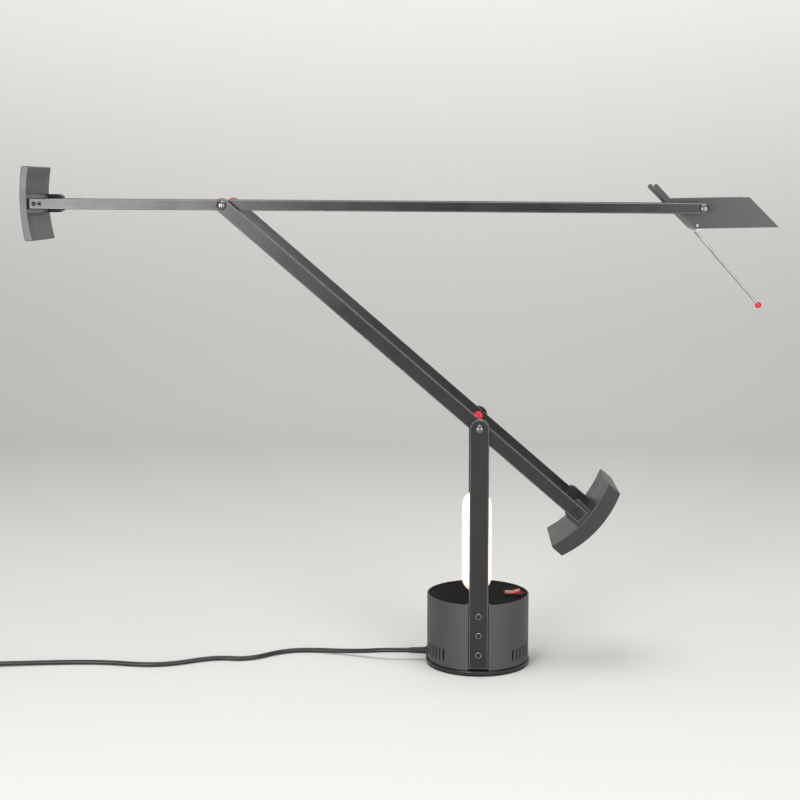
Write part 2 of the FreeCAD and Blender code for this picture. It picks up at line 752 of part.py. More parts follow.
# ---------------------------------------------------------------- standing light

def standing_light():
    radius = 16.0
    wall = 2.0
    low = 77.1
    high = 187.6
    mouth = 6.2
    flange_top = low + radius - math.sqrt(radius ** 2 - mouth ** 2)
    socket_top = flange_top + 4.0
    socket = turned("light_socket", (0, 66.0), (SOCKET_SPIGOT_RADIUS - 0.05, 66.0),
                    (SOCKET_SPIGOT_RADIUS - 0.05, size.top_plate_surface),
                    (8.6, size.top_plate_surface), (8.6, flange_top - 0.6), (8.0, flange_top - 0.1),
                    (5.9, flange_top - 0.1), (5.9, socket_top), (0, socket_top))
    keep(socket, "light_socket", Placement(Vector(SOCKET_X, 0, 0), Rotation()))

    inner = radius - wall
    low_centre = low + radius
    high_centre = high - radius
    outer_mouth_height = low_centre - math.sqrt(radius ** 2 - mouth ** 2)
    inner_mouth_height = low_centre - math.sqrt(inner ** 2 - mouth ** 2)
    half = math.sqrt(0.5)
    tilt = math.radians(52.0)
    glass = turned("light_glass", (mouth, outer_mouth_height),
                   ((radius * math.sin(tilt), low_centre - radius * math.cos(tilt)),
                    (radius, low_centre)),
                   (radius, high_centre),
                   ((radius * half, high_centre + radius * half), (0, high_centre + radius)),
                   (0, high_centre + inner),
                   ((inner * half, high_centre + inner * half), (inner, high_centre)),
                   (inner, low_centre),
                   ((inner * math.sin(tilt), low_centre - inner * math.cos(tilt)),
                    (mouth, inner_mouth_height)))
    keep(glass, "light_glass", Placement(Vector(SOCKET_X, 0, 0), Rotation()))

    lamp_radius = 4.5
    lamp_top = 165.0
    lamp = turned("light_tube", (0, socket_top), (lamp_radius, socket_top),
                  (lamp_radius, lamp_top - lamp_radius),
                  ((lamp_radius * half, lamp_top - lamp_radius + lamp_radius * half),
                   (0, lamp_top)))
    keep(lamp, "light_tube", Placement(Vector(SOCKET_X, 0, 0), Rotation()))


# ---------------------------------------------------------------- pivots

def stem_pivots():
    outer = size.stem_inner + size.stem_thickness
    tip = 41.2
    pin = dome_pin("stem_pin", 4.8, 2.6, size.stem_pin_radius, outer - tip, 3.0)
    group("stem_pivot_pins", pin, [facing(side, 0, outer, size.stem_pivot_height)
                                   for side in SIDES])
    washer = turned("stem_washer", (size.stem_pin_radius, -1.0), (7.0, -1.0), (7.0, 0),
                    (size.stem_pin_radius, 0))
    group("stem_pivot_washers", washer, [facing(side, 0, size.stem_inner, size.stem_pivot_height)
                                         for side in SIDES])
    seat = size.lower_inner - 0.3
    cap_radius, cap_length = 5.2, 4.9
    depth = seat - tip
    cap = turned("stem_cap", (0, -depth), (size.stem_pin_radius, -depth),
                 (size.stem_pin_radius, 0), (cap_radius, 0), (cap_radius, -cap_length + 2.2),
                 ((cap_radius * 0.8, -cap_length + 0.6), (1.6, -cap_length)),
                 (0, -cap_length))
    group("stem_pivot_caps", cap, [facing(side, 0, seat, size.stem_pivot_height)
                                   for side in SIDES])


def elbow_pivots():
    outer = size.lower_inner + size.lower_thickness
    tip = 33.8
    at_elbow = -size.lower_reach
    pin = dome_pin("elbow_pin", 5.0, 2.8, size.elbow_pin_radius, outer - tip, 3.0)
    group("elbow_pins", pin, [facing(side, at_elbow, outer, 0) for side in SIDES], LOWER_FRAME)
    upper_outer = size.upper_inner + size.upper_thickness
    length = size.lower_inner - upper_outer - 0.3
    spacer = turned("elbow_spacer", (size.elbow_pin_radius, -length), (7.3, -length), (7.3, 0),
                    (size.elbow_pin_radius, 0))
    group("elbow_spacers", spacer, [facing(side, at_elbow, size.lower_inner, 0)
                                    for side in SIDES], LOWER_FRAME)
    seat = size.upper_inner - 0.3
    depth = seat - tip
    nut = turned("elbow_nut", (0, -depth), (size.elbow_pin_radius, -depth),
                 (size.elbow_pin_radius, 0), (4.0, 0), (4.0, -2.6), (3.4, -3.4), (0, -3.4))
    group("elbow_nuts", nut, [facing(side, at_elbow, seat, 0) for side in SIDES], LOWER_FRAME)


def head_pivots():
    outer = size.upper_inner + size.upper_thickness
    tip = 27.2
    pin = dome_pin("head_pin", 4.8, 2.6, size.head_pin_radius, outer - tip, 3.0)
    group("head_pivot_pins", pin, [facing(side, size.upper_reach, outer, 0) for side in SIDES],
          UPPER_FRAME)
    seat = size.upper_inner - 0.3
    bore = size.head_pin_radius + size.pin_clearance
    bore_depth = seat - tip + 0.5
    length = seat - size.head_half_width
    spigot = size.spacer_spigot_radius
    reach = length + size.head_sheet + 1.0
    spacer = turned("head_spacer", (bore, -bore_depth), (bore, 0), (4.4, 0), (5.0, -0.6),
                    (5.0, -length), (spigot, -length), (spigot, -reach), (0, -reach),
                    (0, -bore_depth))
    group("head_spacers", spacer, [facing(side, 0, seat, 0) for side in SIDES], HEAD_FRAME)


# ---------------------------------------------------------------- counterweights

def weight_block(label, frame, start, *segments, corner, edge):
    """A thick curved plate across the arm with rounded corners and eased edges."""
    body = body_named(label)
    sketch = sketch_on(body, "XZ_Plane", label + "_outline")
    add_outline(sketch, start, *segments)
    blank = pad(body, sketch, label + "_blank", 2 * size.weight_half_width,
                "2 * Dims.weight_half_width", symmetric=True)
    corners = edge_names(blank, runs_along_y)
    rounded = fillet(body, blank, label + "_corners", corners, corner)
    rims = edge_names(rounded, lambda e: lies_at(e, "y", size.weight_half_width)
                      or lies_at(e, "y", -size.weight_half_width))
    body.Tip = fillet(body, rounded, label + "_rims", rims, edge)
    return keep(body, label, frame)


def weight_holders(label, frame, block, tip, root, half_height, step, outer, inner, slot_half,
                   slot_floor, slot_end, screws):
    """Moulded lugs on the block's hollow side, each with a slot that takes one bar's end."""
    toward = 1 if root > tip else -1
    shoulder = tip + toward * 3.6
    lugs = []
    for side, end in zip(SIDES, ("_front", "_back")):
        name = label + end
        lug = body_named(name)
        sketch = sketch_on(lug, "XZ_Plane", name + "_outline",
                           Placement(Vector(0, 0, inner if side == FRONT else -outer),
                                     Rotation()))
        add_outline(sketch, (root, -half_height), (shoulder, -half_height), (tip, -step),
                    (tip, step), (shoulder, half_height), (root, half_height))
        pad(lug, sketch, name + "_blank", outer - inner)
        slot = sketch_on(lug, "XZ_Plane", name + "_slot_outline",
                         Placement(Vector(0, 0, -side * slot_floor), Rotation()))
        low, high = sorted((tip - toward, slot_end))
        add_rectangle(slot, low, -slot_half, high, slot_half)
        pocket(lug, slot, name + "_slot", length=outer - slot_floor + 1, reverse=side == FRONT)
        drilling = sketch_on(lug, "XZ_Plane", name + "_drilling")
        for x in screws:
            add_circle(drilling, (x, 0), size.weight_screw_hole)
        lug.Tip = pocket(lug, drilling, name + "_holes", through=True, symmetric=True)
        lug.Placement = frame
        fitted = doc.addObject("Part::Cut", name + "_fitted")
        fitted.Base = lug
        fitted.Tool = block
        lugs.append(fitted)
    pair = doc.addObject("Part::Compound", label)
    pair.Links = lugs
    keep(pair, label)


def large_counterweight():
    inner_low, inner_middle, inner_high = (138.2, -44.7), (145.9, -0.6), (138.2, 43.8)
    outer_low, outer_middle, outer_high = (153.2, -44.9), (162.7, -0.6), (154.8, 44.1)
    block = weight_block("large_counterweight", LOWER_FRAME, inner_low, outer_low,
                         (outer_middle, outer_high), inner_high, (inner_middle, inner_low),
                         corner=1.4, edge=0.9)
    weight_holders("large_holders", LOWER_FRAME, block, tip=126.0, root=150.0, half_height=11.0,
                   step=9.0, outer=44.3, inner=35.0, slot_half=size.lower_height / 2 + 0.15,
                   slot_floor=size.lower_inner, slot_end=size.lower_tail + 0.4,
                   screws=(size.large_screw_at, size.large_pin_at))
    weight_fixings("large", LOWER_FRAME, size.lower_inner + size.lower_thickness,
                   size.large_screw_at, size.large_pin_at)


def small_counterweight():
    inner_low, inner_middle, inner_high = (-194.5, -37.9), (-200.2, 1.0), (-197.2, 38.1)
    outer_low, outer_middle, outer_high = (-203.0, -38.3), (-207.4, 1.0), (-205.0, 38.1)
    block = weight_block("small_counterweight", UPPER_FRAME, inner_high, outer_high,
                         (outer_middle, outer_low), inner_low, (inner_middle, inner_high),
                         corner=1.6, edge=0.7)
    weight_holders("small_holders", UPPER_FRAME, block, tip=-182.8, root=-201.0, half_height=9.6,
                   step=7.2, outer=44.0, inner=28.0, slot_half=size.upper_height / 2 + 0.15,
                   slot_floor=size.upper_inner, slot_end=-size.upper_tail - 0.3,
                   screws=(-size.small_screw_at, -size.small_pin_at))
    weight_fixings("small", UPPER_FRAME, size.upper_inner + size.upper_thickness,
                   -size.small_screw_at, -size.small_pin_at)


def weight_fixings(kind, frame, outer, screw_x, pin_x):
    """A hexagon screw and a plain pin that hold each bar's end in its lug."""
    shank = size.weight_screw_hole - 0.05
    screw = hexagonal_screw(kind + "_screw", 2.4, 1.0, shank, 9.0, 1.8)
    group(kind + "_weight_screws", screw, [facing(side, screw_x, outer, 0) for side in SIDES],
          frame)
    pin = turned(kind + "_pin", (0, -9.0), (shank, -9.0), (shank, 0),
                 ((shank * 0.75, 0.32), (0.4, 0.5)), (0, 0.5))
    group(kind + "_weight_pins", pin, [facing(side, pin_x, outer, 0) for side in SIDES], frame)


# ---------------------------------------------------------------- head

TAIL_LOW = (-50.1, 23.0)
TAIL_HIGH = (-46.4, 26.6)
SHADE_REAR = (-32.0, 10.7)
SHADE_BROW = (48.0, 10.7)
SHADE_NOSE = (78.3, -20.5)
SHADE_HEEL = (-7.2, -20.5)


def rear_line(height, inset):
    """X of the sloping rear web at a height, moved inward by inset along its normal."""
    slope = (SHADE_HEEL[0] - TAIL_LOW[0]) / (SHADE_HEEL[1] - TAIL_LOW[1])
    normal = math.hypot(1.0, slope)
    return SHADE_HEEL[0] + (height - SHADE_HEEL[1]) * slope + inset * normal


def head_frame():
    """Folded sheet: two cheeks that run up into a tail, joined by a sloping rear web."""
    body = body_named("head_sheet")
    sketch = sketch_on(body, "XZ_Plane", "cheek_outline")
    add_outline(sketch, SHADE_HEEL, TAIL_LOW, TAIL_HIGH, SHADE_REAR, SHADE_BROW, SHADE_NOSE)
    blank = pad(body, sketch, "head_blank", 2 * size.head_half_width, "2 * Dims.head_half_width",
                symmetric=True)
    far_corner = edge_names(blank, lambda e: runs_along_y(e) and
                            (e.BoundBox.XMin < -46 or abs(e.BoundBox.XMin - SHADE_BROW[0]) < 1e-3))
    rounded = fillet(body, blank, "head_corners", far_corner, 1.8)
    inside = sketch_on(body, "XZ_Plane", "head_inside_outline")
    top, bottom, front = 40.0, -30.0, 90.0
    sheet_inset = size.head_sheet
    add_outline(inside, (rear_line(bottom, sheet_inset), bottom),
                (rear_line(top, sheet_inset), top), (front, top), (front, bottom))
    hollow = pocket(body, inside, "head_hollow", 2 * (size.head_half_width - size.head_sheet),
                    symmetric=True)
    hollow.setExpression("Length", "2 * (Dims.head_half_width - Dims.head_sheet)")
    holes = sketch_on(body, "XZ_Plane", "cheek_holes")
    add_circle(holes, (0, 0), size.spacer_spigot_radius, "Dims.spacer_spigot_radius")
    pierced = pocket(body, holes, "cheek_piercing", through=True, symmetric=True)
    doc.recompute()
    if not pierced.Shape.Volume < hollow.Shape.Volume < 0.5 * rounded.Shape.Volume:
        raise ValueError("the head's hollow or holes missed")
    body.Placement = HEAD_FRAME
    return body


def head_cover():
    """Folded sheet between the cheeks: the flat top and the sloping front."""
    gauge = 1.0
    half = size.head_half_width - size.head_sheet - 0.05
    drop = 0.25
    slope = math.atan2(SHADE_BROW[1] - SHADE_NOSE[1], SHADE_NOSE[0] - SHADE_BROW[0])
    fold = gauge * math.tan(slope / 2)
    run = gauge / math.sin(slope)
    top = SHADE_BROW[1] - drop
    rear = rear_line(top - gauge, size.head_sheet + 0.1)
    nose_height = SHADE_NOSE[1] + 0.6
    nose_x = SHADE_NOSE[0] - 0.4 - 0.6 / math.tan(slope)
    brow_x = SHADE_BROW[0] - 0.4
    body = body_named("head_cover")
    sketch = sketch_on(body, "XZ_Plane", "cover_outline")
    add_outline(sketch, (rear, top), (brow_x, top), (nose_x, nose_height),
                (nose_x - run, nose_height), (brow_x - fold, top - gauge), (rear, top - gauge))
    body.Tip = pad(body, sketch, "cover_sheet", 2 * half, symmetric=True)
    keep(body, "head_cover", HEAD_FRAME)


REFLECTOR_RIM = -17.0
REFLECTOR_REAR = -3.2
REFLECTOR_FRONT = 46.0


def reflector():
    """A bright trough over the bulb, open at the lampholder's end and closed at the front."""
    gauge = 0.6
    half = size.head_half_width - size.head_sheet - 0.4
    crown = 7.6
    body = body_named("reflector")
    sketch = sketch_on(body, "YZ_Plane", "trough_outline", Placement(Vector(0, 0, REFLECTOR_REAR),
                                                                     Rotation()))
    add_outline(sketch, (-half, REFLECTOR_RIM), ((0, crown), (half, REFLECTOR_RIM)))
    pad(body, sketch, "trough_blank", REFLECTOR_FRONT - REFLECTOR_REAR)
    hollow = sketch_on(body, "YZ_Plane", "trough_hollow_outline",
                       Placement(Vector(0, 0, REFLECTOR_REAR - 1), Rotation()))
    add_outline(hollow, (-half + gauge, REFLECTOR_RIM),
                ((0, crown - gauge), (half - gauge, REFLECTOR_RIM)))
    hollowed = pocket(body, hollow, "trough_hollow", REFLECTOR_FRONT - REFLECTOR_REAR + 1 - gauge,
                      reverse=True)
    doc.recompute()
    if hollowed.Shape.Volume > 0.3 * body.getObject("trough_blank").Shape.Volume:
        raise ValueError("the reflector's hollow missed")
    body.Tip = hollowed
    keep(body, "reflector", HEAD_FRAME)


BULB_HEIGHT = -4.0
HOLDER_FRONT = -6.0


def halogen_lamp():
    rear = -14.6
    half_width = 6.0
    holder = body_named("lampholder")
    sketch = sketch_on(holder, "XZ_Plane", "holder_outline")
    bottom, top = BULB_HEIGHT - 5.0, BULB_HEIGHT + 5.0
    add_outline(sketch, (rear_line(bottom, size.head_sheet), bottom), (HOLDER_FRONT, bottom),
                (HOLDER_FRONT, top), (rear_line(top, size.head_sheet), top))
    holder.Tip = pad(holder, sketch, "holder_block", 2 * half_width, symmetric=True)
    keep(holder, "lampholder", HEAD_FRAME)

    pinch, glass, length = 3.6, 5.6, 40.0
    neck = 6.0
    bulb = turned("halogen_bulb", (0, 0), (pinch, 0), (pinch, neck),
                  ((glass - 0.6, neck + 1.6), (glass, neck + 4.0)), (glass, length - 6.0),
                  ((glass * 0.72, length - 2.0), (1.2, length)), (0, length))
    turn = Placement(Vector(HOLDER_FRONT, 0, BULB_HEIGHT), Rotation(Vector(0, 1, 0), 90))
    keep(bulb, "halogen_bulb", HEAD_FRAME.multiply(turn))


def front_glass():
    """The flat glass that closes the shade below, and the four clips that carry it."""
    half = size.head_half_width - size.head_sheet - 0.3
    bottom, gauge = -19.2, 1.6
    rear = 1.2
    front = 72.0
    glass = doc.addObject("Part::Box", "front_glass")
    glass.Length = front - rear
    glass.Width = 2 * half
    glass.Height = gauge
    keep(glass, "front_glass", HEAD_FRAME.multiply(Placement(Vector(rear, -half, bottom),
                                                             Rotation())))
    clip = doc.addObject("Part::Box", "glass_clip")
    clip.Length, clip.Width, clip.Height = 6.0, 3.0, 0.6
    reach = size.head_half_width - size.head_sheet
    places = []
    for x in (4.0, 56.0):
        places.append(Placement(Vector(x, -reach, bottom - 0.6), Rotation()))
        places.append(Placement(Vector(x, reach - 3.0, bottom - 0.6), Rotation()))
    group("glass_clips", clip, places, HEAD_FRAME)


BALL_CENTRE = Vector(62.7, 0, -101.3)
WIRE_RADIUS = 1.0
WIRE_X = -2.9
WIRE_SPREAD = 8.0


def handle_plate():
    """A bent steel plate: a leg against the web and a foot across the cheeks' lower edges."""
    body = body_named("handle_plate")
    foot_outline = sketch_on(body, "XZ_Plane", "plate_foot_outline")
    foot_top = SHADE_HEEL[1] - 0.05
    foot_bottom = foot_top - 1.7
    add_rectangle(foot_outline, -5.3, foot_bottom, -0.4, foot_top)
    pad(body, foot_outline, "plate_foot", 2 * size.head_half_width + 0.6, symmetric=True)
    leg_outline = sketch_on(body, "XZ_Plane", "plate_leg_outline")
    near, far = size.head_sheet + 0.05, size.head_sheet + 1.05
    low, high = foot_top - 0.5, SHADE_HEEL[1] + 8.4
    add_outline(leg_outline, (rear_line(low, near), low), (rear_line(low, far), low),
                (rear_line(high, far), high), (rear_line(high, near), high))
    pad(body, leg_outline, "plate_leg", 40.0, symmetric=True)
    wire_holes = sketch_on(body, "XY_Plane", "plate_wire_holes")
    for side in SIDES:
        add_circle(wire_holes, (WIRE_X, WIRE_SPREAD * side), WIRE_RADIUS + size.pin_clearance)
    body.Tip = pocket(body, wire_holes, "plate_piercing", through=True, symmetric=True)
    body.Placement = HEAD_FRAME
    return body


def handle(sheet_body):
    """A bent steel wire: two legs from a plate under the shade that meet in a small ball."""
    heel = Vector(SHADE_HEEL[0], 0, SHADE_HEEL[1])
    along = (Vector(TAIL_LOW[0], 0, TAIL_LOW[1]) - heel).normalize()
    outward = Vector(-along.z, 0, along.x)
    bend_radius = 3.0
    legs = []
    for side in SIDES:
        top = Vector(WIRE_X, WIRE_SPREAD * side, -18.9)
        bend = Vector(WIRE_X, WIRE_SPREAD * side, -24.1)
        tip = BALL_CENTRE + Vector(0, side * 1.1, 0)
        upward = (top - bend).normalize()
        toward = (tip - bend).normalize()
        cut = bend_radius * math.tan((math.pi - upward.getAngle(toward)) / 2)
        enter = bend + upward * cut
        leave = bend + toward * cut
        path = Part.Wire([Part.LineSegment(top, enter).toShape(),
                          round_corner(enter, bend, leave).toShape(),
                          Part.LineSegment(leave, tip).toShape()])
        legs.append(tube(path, WIRE_RADIUS))
    ball_radius = 3.3
    wire = legs[0].fuse(legs[1]).cut(Part.makeSphere(ball_radius, BALL_CENTRE))
    plain_feature("handle_wire", wire).Placement = HEAD_FRAME
    knob = doc.addObject("Part::Sphere", "handle_ball")
    knob.Radius = ball_radius
    keep(knob, "handle_ball", HEAD_FRAME.multiply(Placement(BALL_CENTRE, Rotation())))

    screw = hexagonal_screw("handle_screw", 1.35, 0.8, 0.8, 3.4, 1.0)
    turn = Rotation(Vector(0, 0, 1), outward)
    places = [Placement(heel + along * 6.6, turn)]
    for side in SIDES:
        places.append(Placement(heel + along * 3.1 + Vector(0, 9.0 * side, 0), turn))
        cheek = Vector(-4.6, side * size.head_half_width, -17.2)
        places.append(Placement(cheek, Rotation(Vector(0, 0, 1), Vector(0, side, 0))))
    screws = group("handle_screws", screw, places, HEAD_FRAME)
    for label, blank in (("head_frame", sheet_body), ("handle_clip", handle_plate())):
        pierced = doc.addObject("Part::Cut", label)
        pierced.Base = blank
        pierced.Tool = screws
        keep(pierced, label)


# ---------------------------------------------------------------- mains cord

def round_corner(start, corner, end):
    """The arc from start to end that is tangent to the two runs meeting at corner."""
    chord_middle = (start + end) * 0.5
    weight = start.distanceToPoint(chord_middle) / start.distanceToPoint(corner)
    middle = (start + end + corner * (2 * weight)) * (1 / (2 + 2 * weight))
    return Part.Arc(start, middle, end)


def tube(path, radius):
    """Sweep a circle along a wire of runs and arcs and close it as a solid."""
    first = path.OrderedEdges[0]
    start = first.valueAt(first.FirstParameter)
    tangent = first.tangentAt(first.FirstParameter)
    ring = Part.Wire([Part.Circle(start, tangent, radius).toShape()])
    solid = path.makePipeShell([ring], True, False)
    expected = math.pi * radius ** 2 * path.Length
    if abs(solid.Volume - expected) > 0.01 * expected:
        raise ValueError("a tube's volume is off: %.1f, not %.1f" % (solid.Volume, expected))
    return solid


# Points of the cord's centre line from the gland to the coil, chosen by hand.
CORD_ROUTE = [
    (-76.05, 1.5, 11.0),
    (-98.0, 1.5, 11.0),
    (-124.0, 11.0, 6.6),
    (-150.0, 20.0, 3.6),
    (-182.0, 27.0, 2.6),
    (-214.0, 22.0, 2.6),
    (-247.0, -10.0, 2.6),
    (-285.0, -3.5, 2.6),
    (-325.0, -28.0, 2.6),
    (-357.0, -33.0, 2.6),
    (-400.0, -24.0, 2.6),
    (-455.0, -26.5, 2.6),
    (-512.0, -35.5, 3.2),
    (-560.0, -41.0, 3.2),
]


def free_cord():
    points = [Vector(*point) for point in CORD_ROUTE]
    edges = []
    radii = []
    here = points[0]
    for before, corner, after in zip(points, points[1:], points[2:]):
        incoming = (corner - before).normalize()
        outgoing = (after - corner).normalize()
        half_turn = incoming.getAngle(outgoing) / 2
        shorter = min(before.distanceToPoint(corner), corner.distanceToPoint(after))
        cut = 0.45 * shorter
        radii.append(cut / math.tan(half_turn))
        enter = corner - incoming * cut
        leave = corner + outgoing * cut
        edges.append(Part.LineSegment(here, enter).toShape())
        edges.append(round_corner(enter, corner, leave).toShape())
        here = leave
    edges.append(Part.LineSegment(here, points[-1]).toShape())
    path = Part.Wire(edges)
    print("mains_cord bend radii:", ", ".join("%.1f" % radius for radius in radii))
    print("mains_cord length: %.1f" % path.Length)
    plain_feature("mains_cord", tube(path, size.cord_diameter / 2))
    return points[-1], (points[-1] - points[-2]).normalize(), path.Length


def coil_path(start, heading, half_turns, lead):
    """Flat spiral inward, a rise of one layer in a half turn, and a flat spiral outward."""
    flat = Vector(heading.x, heading.y, 0).normalize()
    outward = Vector(-flat.y, flat.x, 0) * -1
    step = size.coil_pitch / 2
    entry = start + flat * lead
    edges = [Part.LineSegment(start, entry).toShape()]
    here, radial, radius = entry, outward, size.coil_outer_radius
    for _ in range(half_turns):
        edges.append(half_circle(here, radial, radius).toShape())
        here = here - radial * (2 * radius)
        radial = radial * -1
        radius -= step
    lift = Vector(0, 0, size.coil_pitch)
    landing = here - radial * (2 * radius) + lift
    forward = quarter_ahead(radial)
    reach = (landing - here).Length / 2
    first_apex = here + forward * reach
    last_apex = landing + forward * reach
    joint = (first_apex + last_apex) * 0.5
    edges.append(round_corner(here, first_apex, joint).toShape())
    edges.append(round_corner(joint, last_apex, landing).toShape())
    here, radial = landing, radial * -1
    for _ in range(half_turns - 1):
        radius += step
        edges.append(half_circle(here, radial, radius).toShape())
        here = here - radial * (2 * radius)
        radial = radial * -1
    away = quarter_ahead(radial)
    end = here + away * (lead * 3.4)
    edges.append(Part.LineSegment(here, end).toShape())
    return Part.Wire(edges), end, away


def quarter_ahead(radial):
    """Direction of travel at a point of a turn, for the coil's sense of winding."""
    return Vector(-radial.y, radial.x, 0)


def half_circle(start, radial, radius):
    centre = start - radial * radius
    return Part.Arc(start, centre + quarter_ahead(radial) * radius, centre - radial * radius)


def least_gap(path, diameter):
    """Smallest clear distance between parts of a tube's centre line that aren't neighbours."""
    spacing = 2.5
    points = path.discretize(Distance=spacing)
    skip = int(3 * diameter / spacing)
    nearest = min(points[i].distanceToPoint(points[j])
                  for i in range(len(points)) for j in range(i + skip, len(points)))
    return nearest - diameter


def coiled_cord(start, heading):
    path, end, away = coil_path(start, heading, 6, 7.0)
    print("cord_coil length: %.1f" % path.Length)
    print("cord_coil least gap: %.2f" % least_gap(path, size.cord_diameter))
    plain_feature("cord_coil", tube(path, size.cord_diameter / 2))
    return end, away, path.Length


def cord_tie(start, heading):
    """A flat strap round all the turns on the coil's near side."""
    flat = Vector(heading.x, heading.y, 0).normalize()
    inward = Vector(-flat.y, flat.x, 0)
    middle = start + flat * 7.0 + inward * size.coil_outer_radius
    half_cord = size.cord_diameter / 2
    gauge = 0.5
    width = 8.0
    inner = size.coil_outer_radius - 3 * size.coil_pitch - half_cord - 0.3
    outer = size.coil_outer_radius + half_cord + 0.3
    low = start.z - half_cord - 0.05
    high = start.z + size.coil_pitch + half_cord + 0.05
    outside = Part.makeBox(outer - inner + 2 * gauge, width, high - low + 2 * gauge,
                           Vector(inner - gauge, -width / 2, low - gauge))
    outside = outside.makeFillet(1.2, [e for e in outside.Edges if e.BoundBox.YLength > 1])
    opening = Part.makeBox(outer - inner, width, high - low, Vector(inner, -width / 2, low))
    opening = opening.makeFillet(0.7, [e for e in opening.Edges if e.BoundBox.YLength > 1])
    strap = plain_feature("cord_tie", outside.cut(opening))
    angle = math.degrees(math.atan2(inward.y, inward.x))
    strap.Placement = Placement(Vector(middle.x, middle.y, 0), Rotation(Vector(0, 0, 1), angle))


def plug(end, away):
    """Flat two-pin plug lying on the table, with its tapered cord entry on the cord's end."""
    half_thick, half_wide, length = 8.3, 17.0, 33.0
    entry = 13.0
    angle = math.degrees(math.atan2(away.y, away.x))
    place = Placement(end, Rotation(Vector(0, 0, 1), angle))
    body = body_named("plug_body")
    sketch = sketch_on(body, "XY_Plane", "plug_outline", Placement(Vector(0, 0, -half_thick),
                                                                   Rotation()))
    neck = 4.6
    add_outline(sketch, (0, -neck + 0.8), (entry - 2.0, -neck),
                ((entry + 3.4, -neck - 1.8), (entry + 6.0, -neck - 7.0)),
                (entry + length - 14.0, -half_wide), (entry + length, -half_wide),
                (entry + length, half_wide), (entry + length - 14.0, half_wide),
                (entry + 6.0, neck + 7.0), ((entry + 3.4, neck + 1.8), (entry - 2.0, neck)),
                (0, neck - 0.8))
    pad(body, sketch, "plug_blank", 2 * half_thick)
    shave = sketch_on(body, "XZ_Plane", "plug_shave_outline")
    slim = 3.8
    for sign in SIDES:
        add_outline(shave, (-1, sign * slim), (entry - 1.0, sign * slim),
                    (entry + 7.0, sign * half_thick), (entry + 7.0, sign * (half_thick + 2)),
                    (-1, sign * (half_thick + 2)))
    body.Tip = pocket(body, shave, "plug_shave", through=True, symmetric=True)
    keep(body, "plug_body", place)
    pin = turned("plug_pin", (0, 0), (2.0, 0), (2.0, 17.6), ((1.5, 18.5), (0.6, 19.0)), (0, 19.0))
    face = place.multiply(Placement(Vector(entry + length, 0, 0), Rotation(Vector(0, 1, 0), 90)))
    spacing = 9.3
    group("plug_pins", pin, [Placement(Vector(0, y, 0), Rotation()) for y in (-spacing, spacing)],
          face)


# ---------------------------------------------------------------- assembly

foot()
swivel()
housing_shell()
base_plate()
top_plate()
cover_screws()
transformer()
stem_bars()
stem_fixings()
cord_gland()
switch()
standing_light()
stem_pivots()
lower_bars()
elbow_pivots()
upper_bars()
head_pivots()
large_counterweight()
small_counterweight()
shade_sheet = head_frame()
head_cover()
reflector()
halogen_lamp()
front_glass()
handle(shade_sheet)
coil_start, coil_heading, free_length = free_cord()
coil_end, plug_heading, coil_length = coiled_cord(coil_start, coil_heading)
cord_tie(coil_start, coil_heading)
plug(coil_end, plug_heading)
print("cord length in all: %.0f" % (free_length + coil_length))

doc.recompute()
for feature in doc.Objects:
    if {"Invalid", "Error"} & set(feature.State):
        raise ValueError("%s is %s" % (feature.Label, feature.State))
for feature in sub_parts:
    if feature.Shape.isNull() or not feature.Shape.isValid():
        raise ValueError(feature.Label + " has no valid shape")
for feature in sub_parts:
    feature.Shape.exportStep("parts/%s.step" % feature.Label)
print("wrote %d sub-parts" % len(sub_parts))
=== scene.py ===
"""Looks of a counterweight balance desk lamp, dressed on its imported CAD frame."""
import json
import logging
import math
from dataclasses import dataclass
from enum import Enum
from typing import ClassVar

import bmesh
import bpy
from mathutils import Matrix, Vector


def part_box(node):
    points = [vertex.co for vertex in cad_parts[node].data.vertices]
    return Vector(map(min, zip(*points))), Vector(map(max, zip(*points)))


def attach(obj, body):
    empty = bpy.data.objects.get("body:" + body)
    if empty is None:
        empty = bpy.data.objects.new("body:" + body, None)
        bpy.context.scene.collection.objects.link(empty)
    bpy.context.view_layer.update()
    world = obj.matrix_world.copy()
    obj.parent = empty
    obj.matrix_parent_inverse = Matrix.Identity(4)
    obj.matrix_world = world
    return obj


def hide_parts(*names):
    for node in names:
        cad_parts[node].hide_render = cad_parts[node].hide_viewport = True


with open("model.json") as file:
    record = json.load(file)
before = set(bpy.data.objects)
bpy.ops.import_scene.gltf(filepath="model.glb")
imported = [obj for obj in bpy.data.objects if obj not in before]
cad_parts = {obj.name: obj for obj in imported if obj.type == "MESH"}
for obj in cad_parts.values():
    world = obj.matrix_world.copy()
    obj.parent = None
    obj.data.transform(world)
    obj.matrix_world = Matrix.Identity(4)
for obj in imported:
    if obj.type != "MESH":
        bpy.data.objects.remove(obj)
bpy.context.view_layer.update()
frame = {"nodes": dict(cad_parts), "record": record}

log = logging.getLogger("desk_lamp")

Point = tuple[float, float, float]
MM = 0.001
# The dish of a flat-headed screw stands this far proud of the head's face, as a depth.
FLUSH_DEPTH_MM = -0.14


# ---------------------------------------------------------------- colour and node helpers

def linear(code: str) -> tuple[float, float, float, float]:
    """Turn an sRGB hex colour into the linear colour that a shader takes.

    Args:
        code: the colour as "#rrggbb".

    Returns:
        Linear red, green, blue and an alpha of 1.
    """
    parts = [int(code[i:i + 2], 16) / 255 for i in (1, 3, 5)]
    line = [c / 12.92 if c <= 0.04045 else ((c + 0.055) / 1.055) ** 2.4 for c in parts]
    return (line[0], line[1], line[2], 1.0)


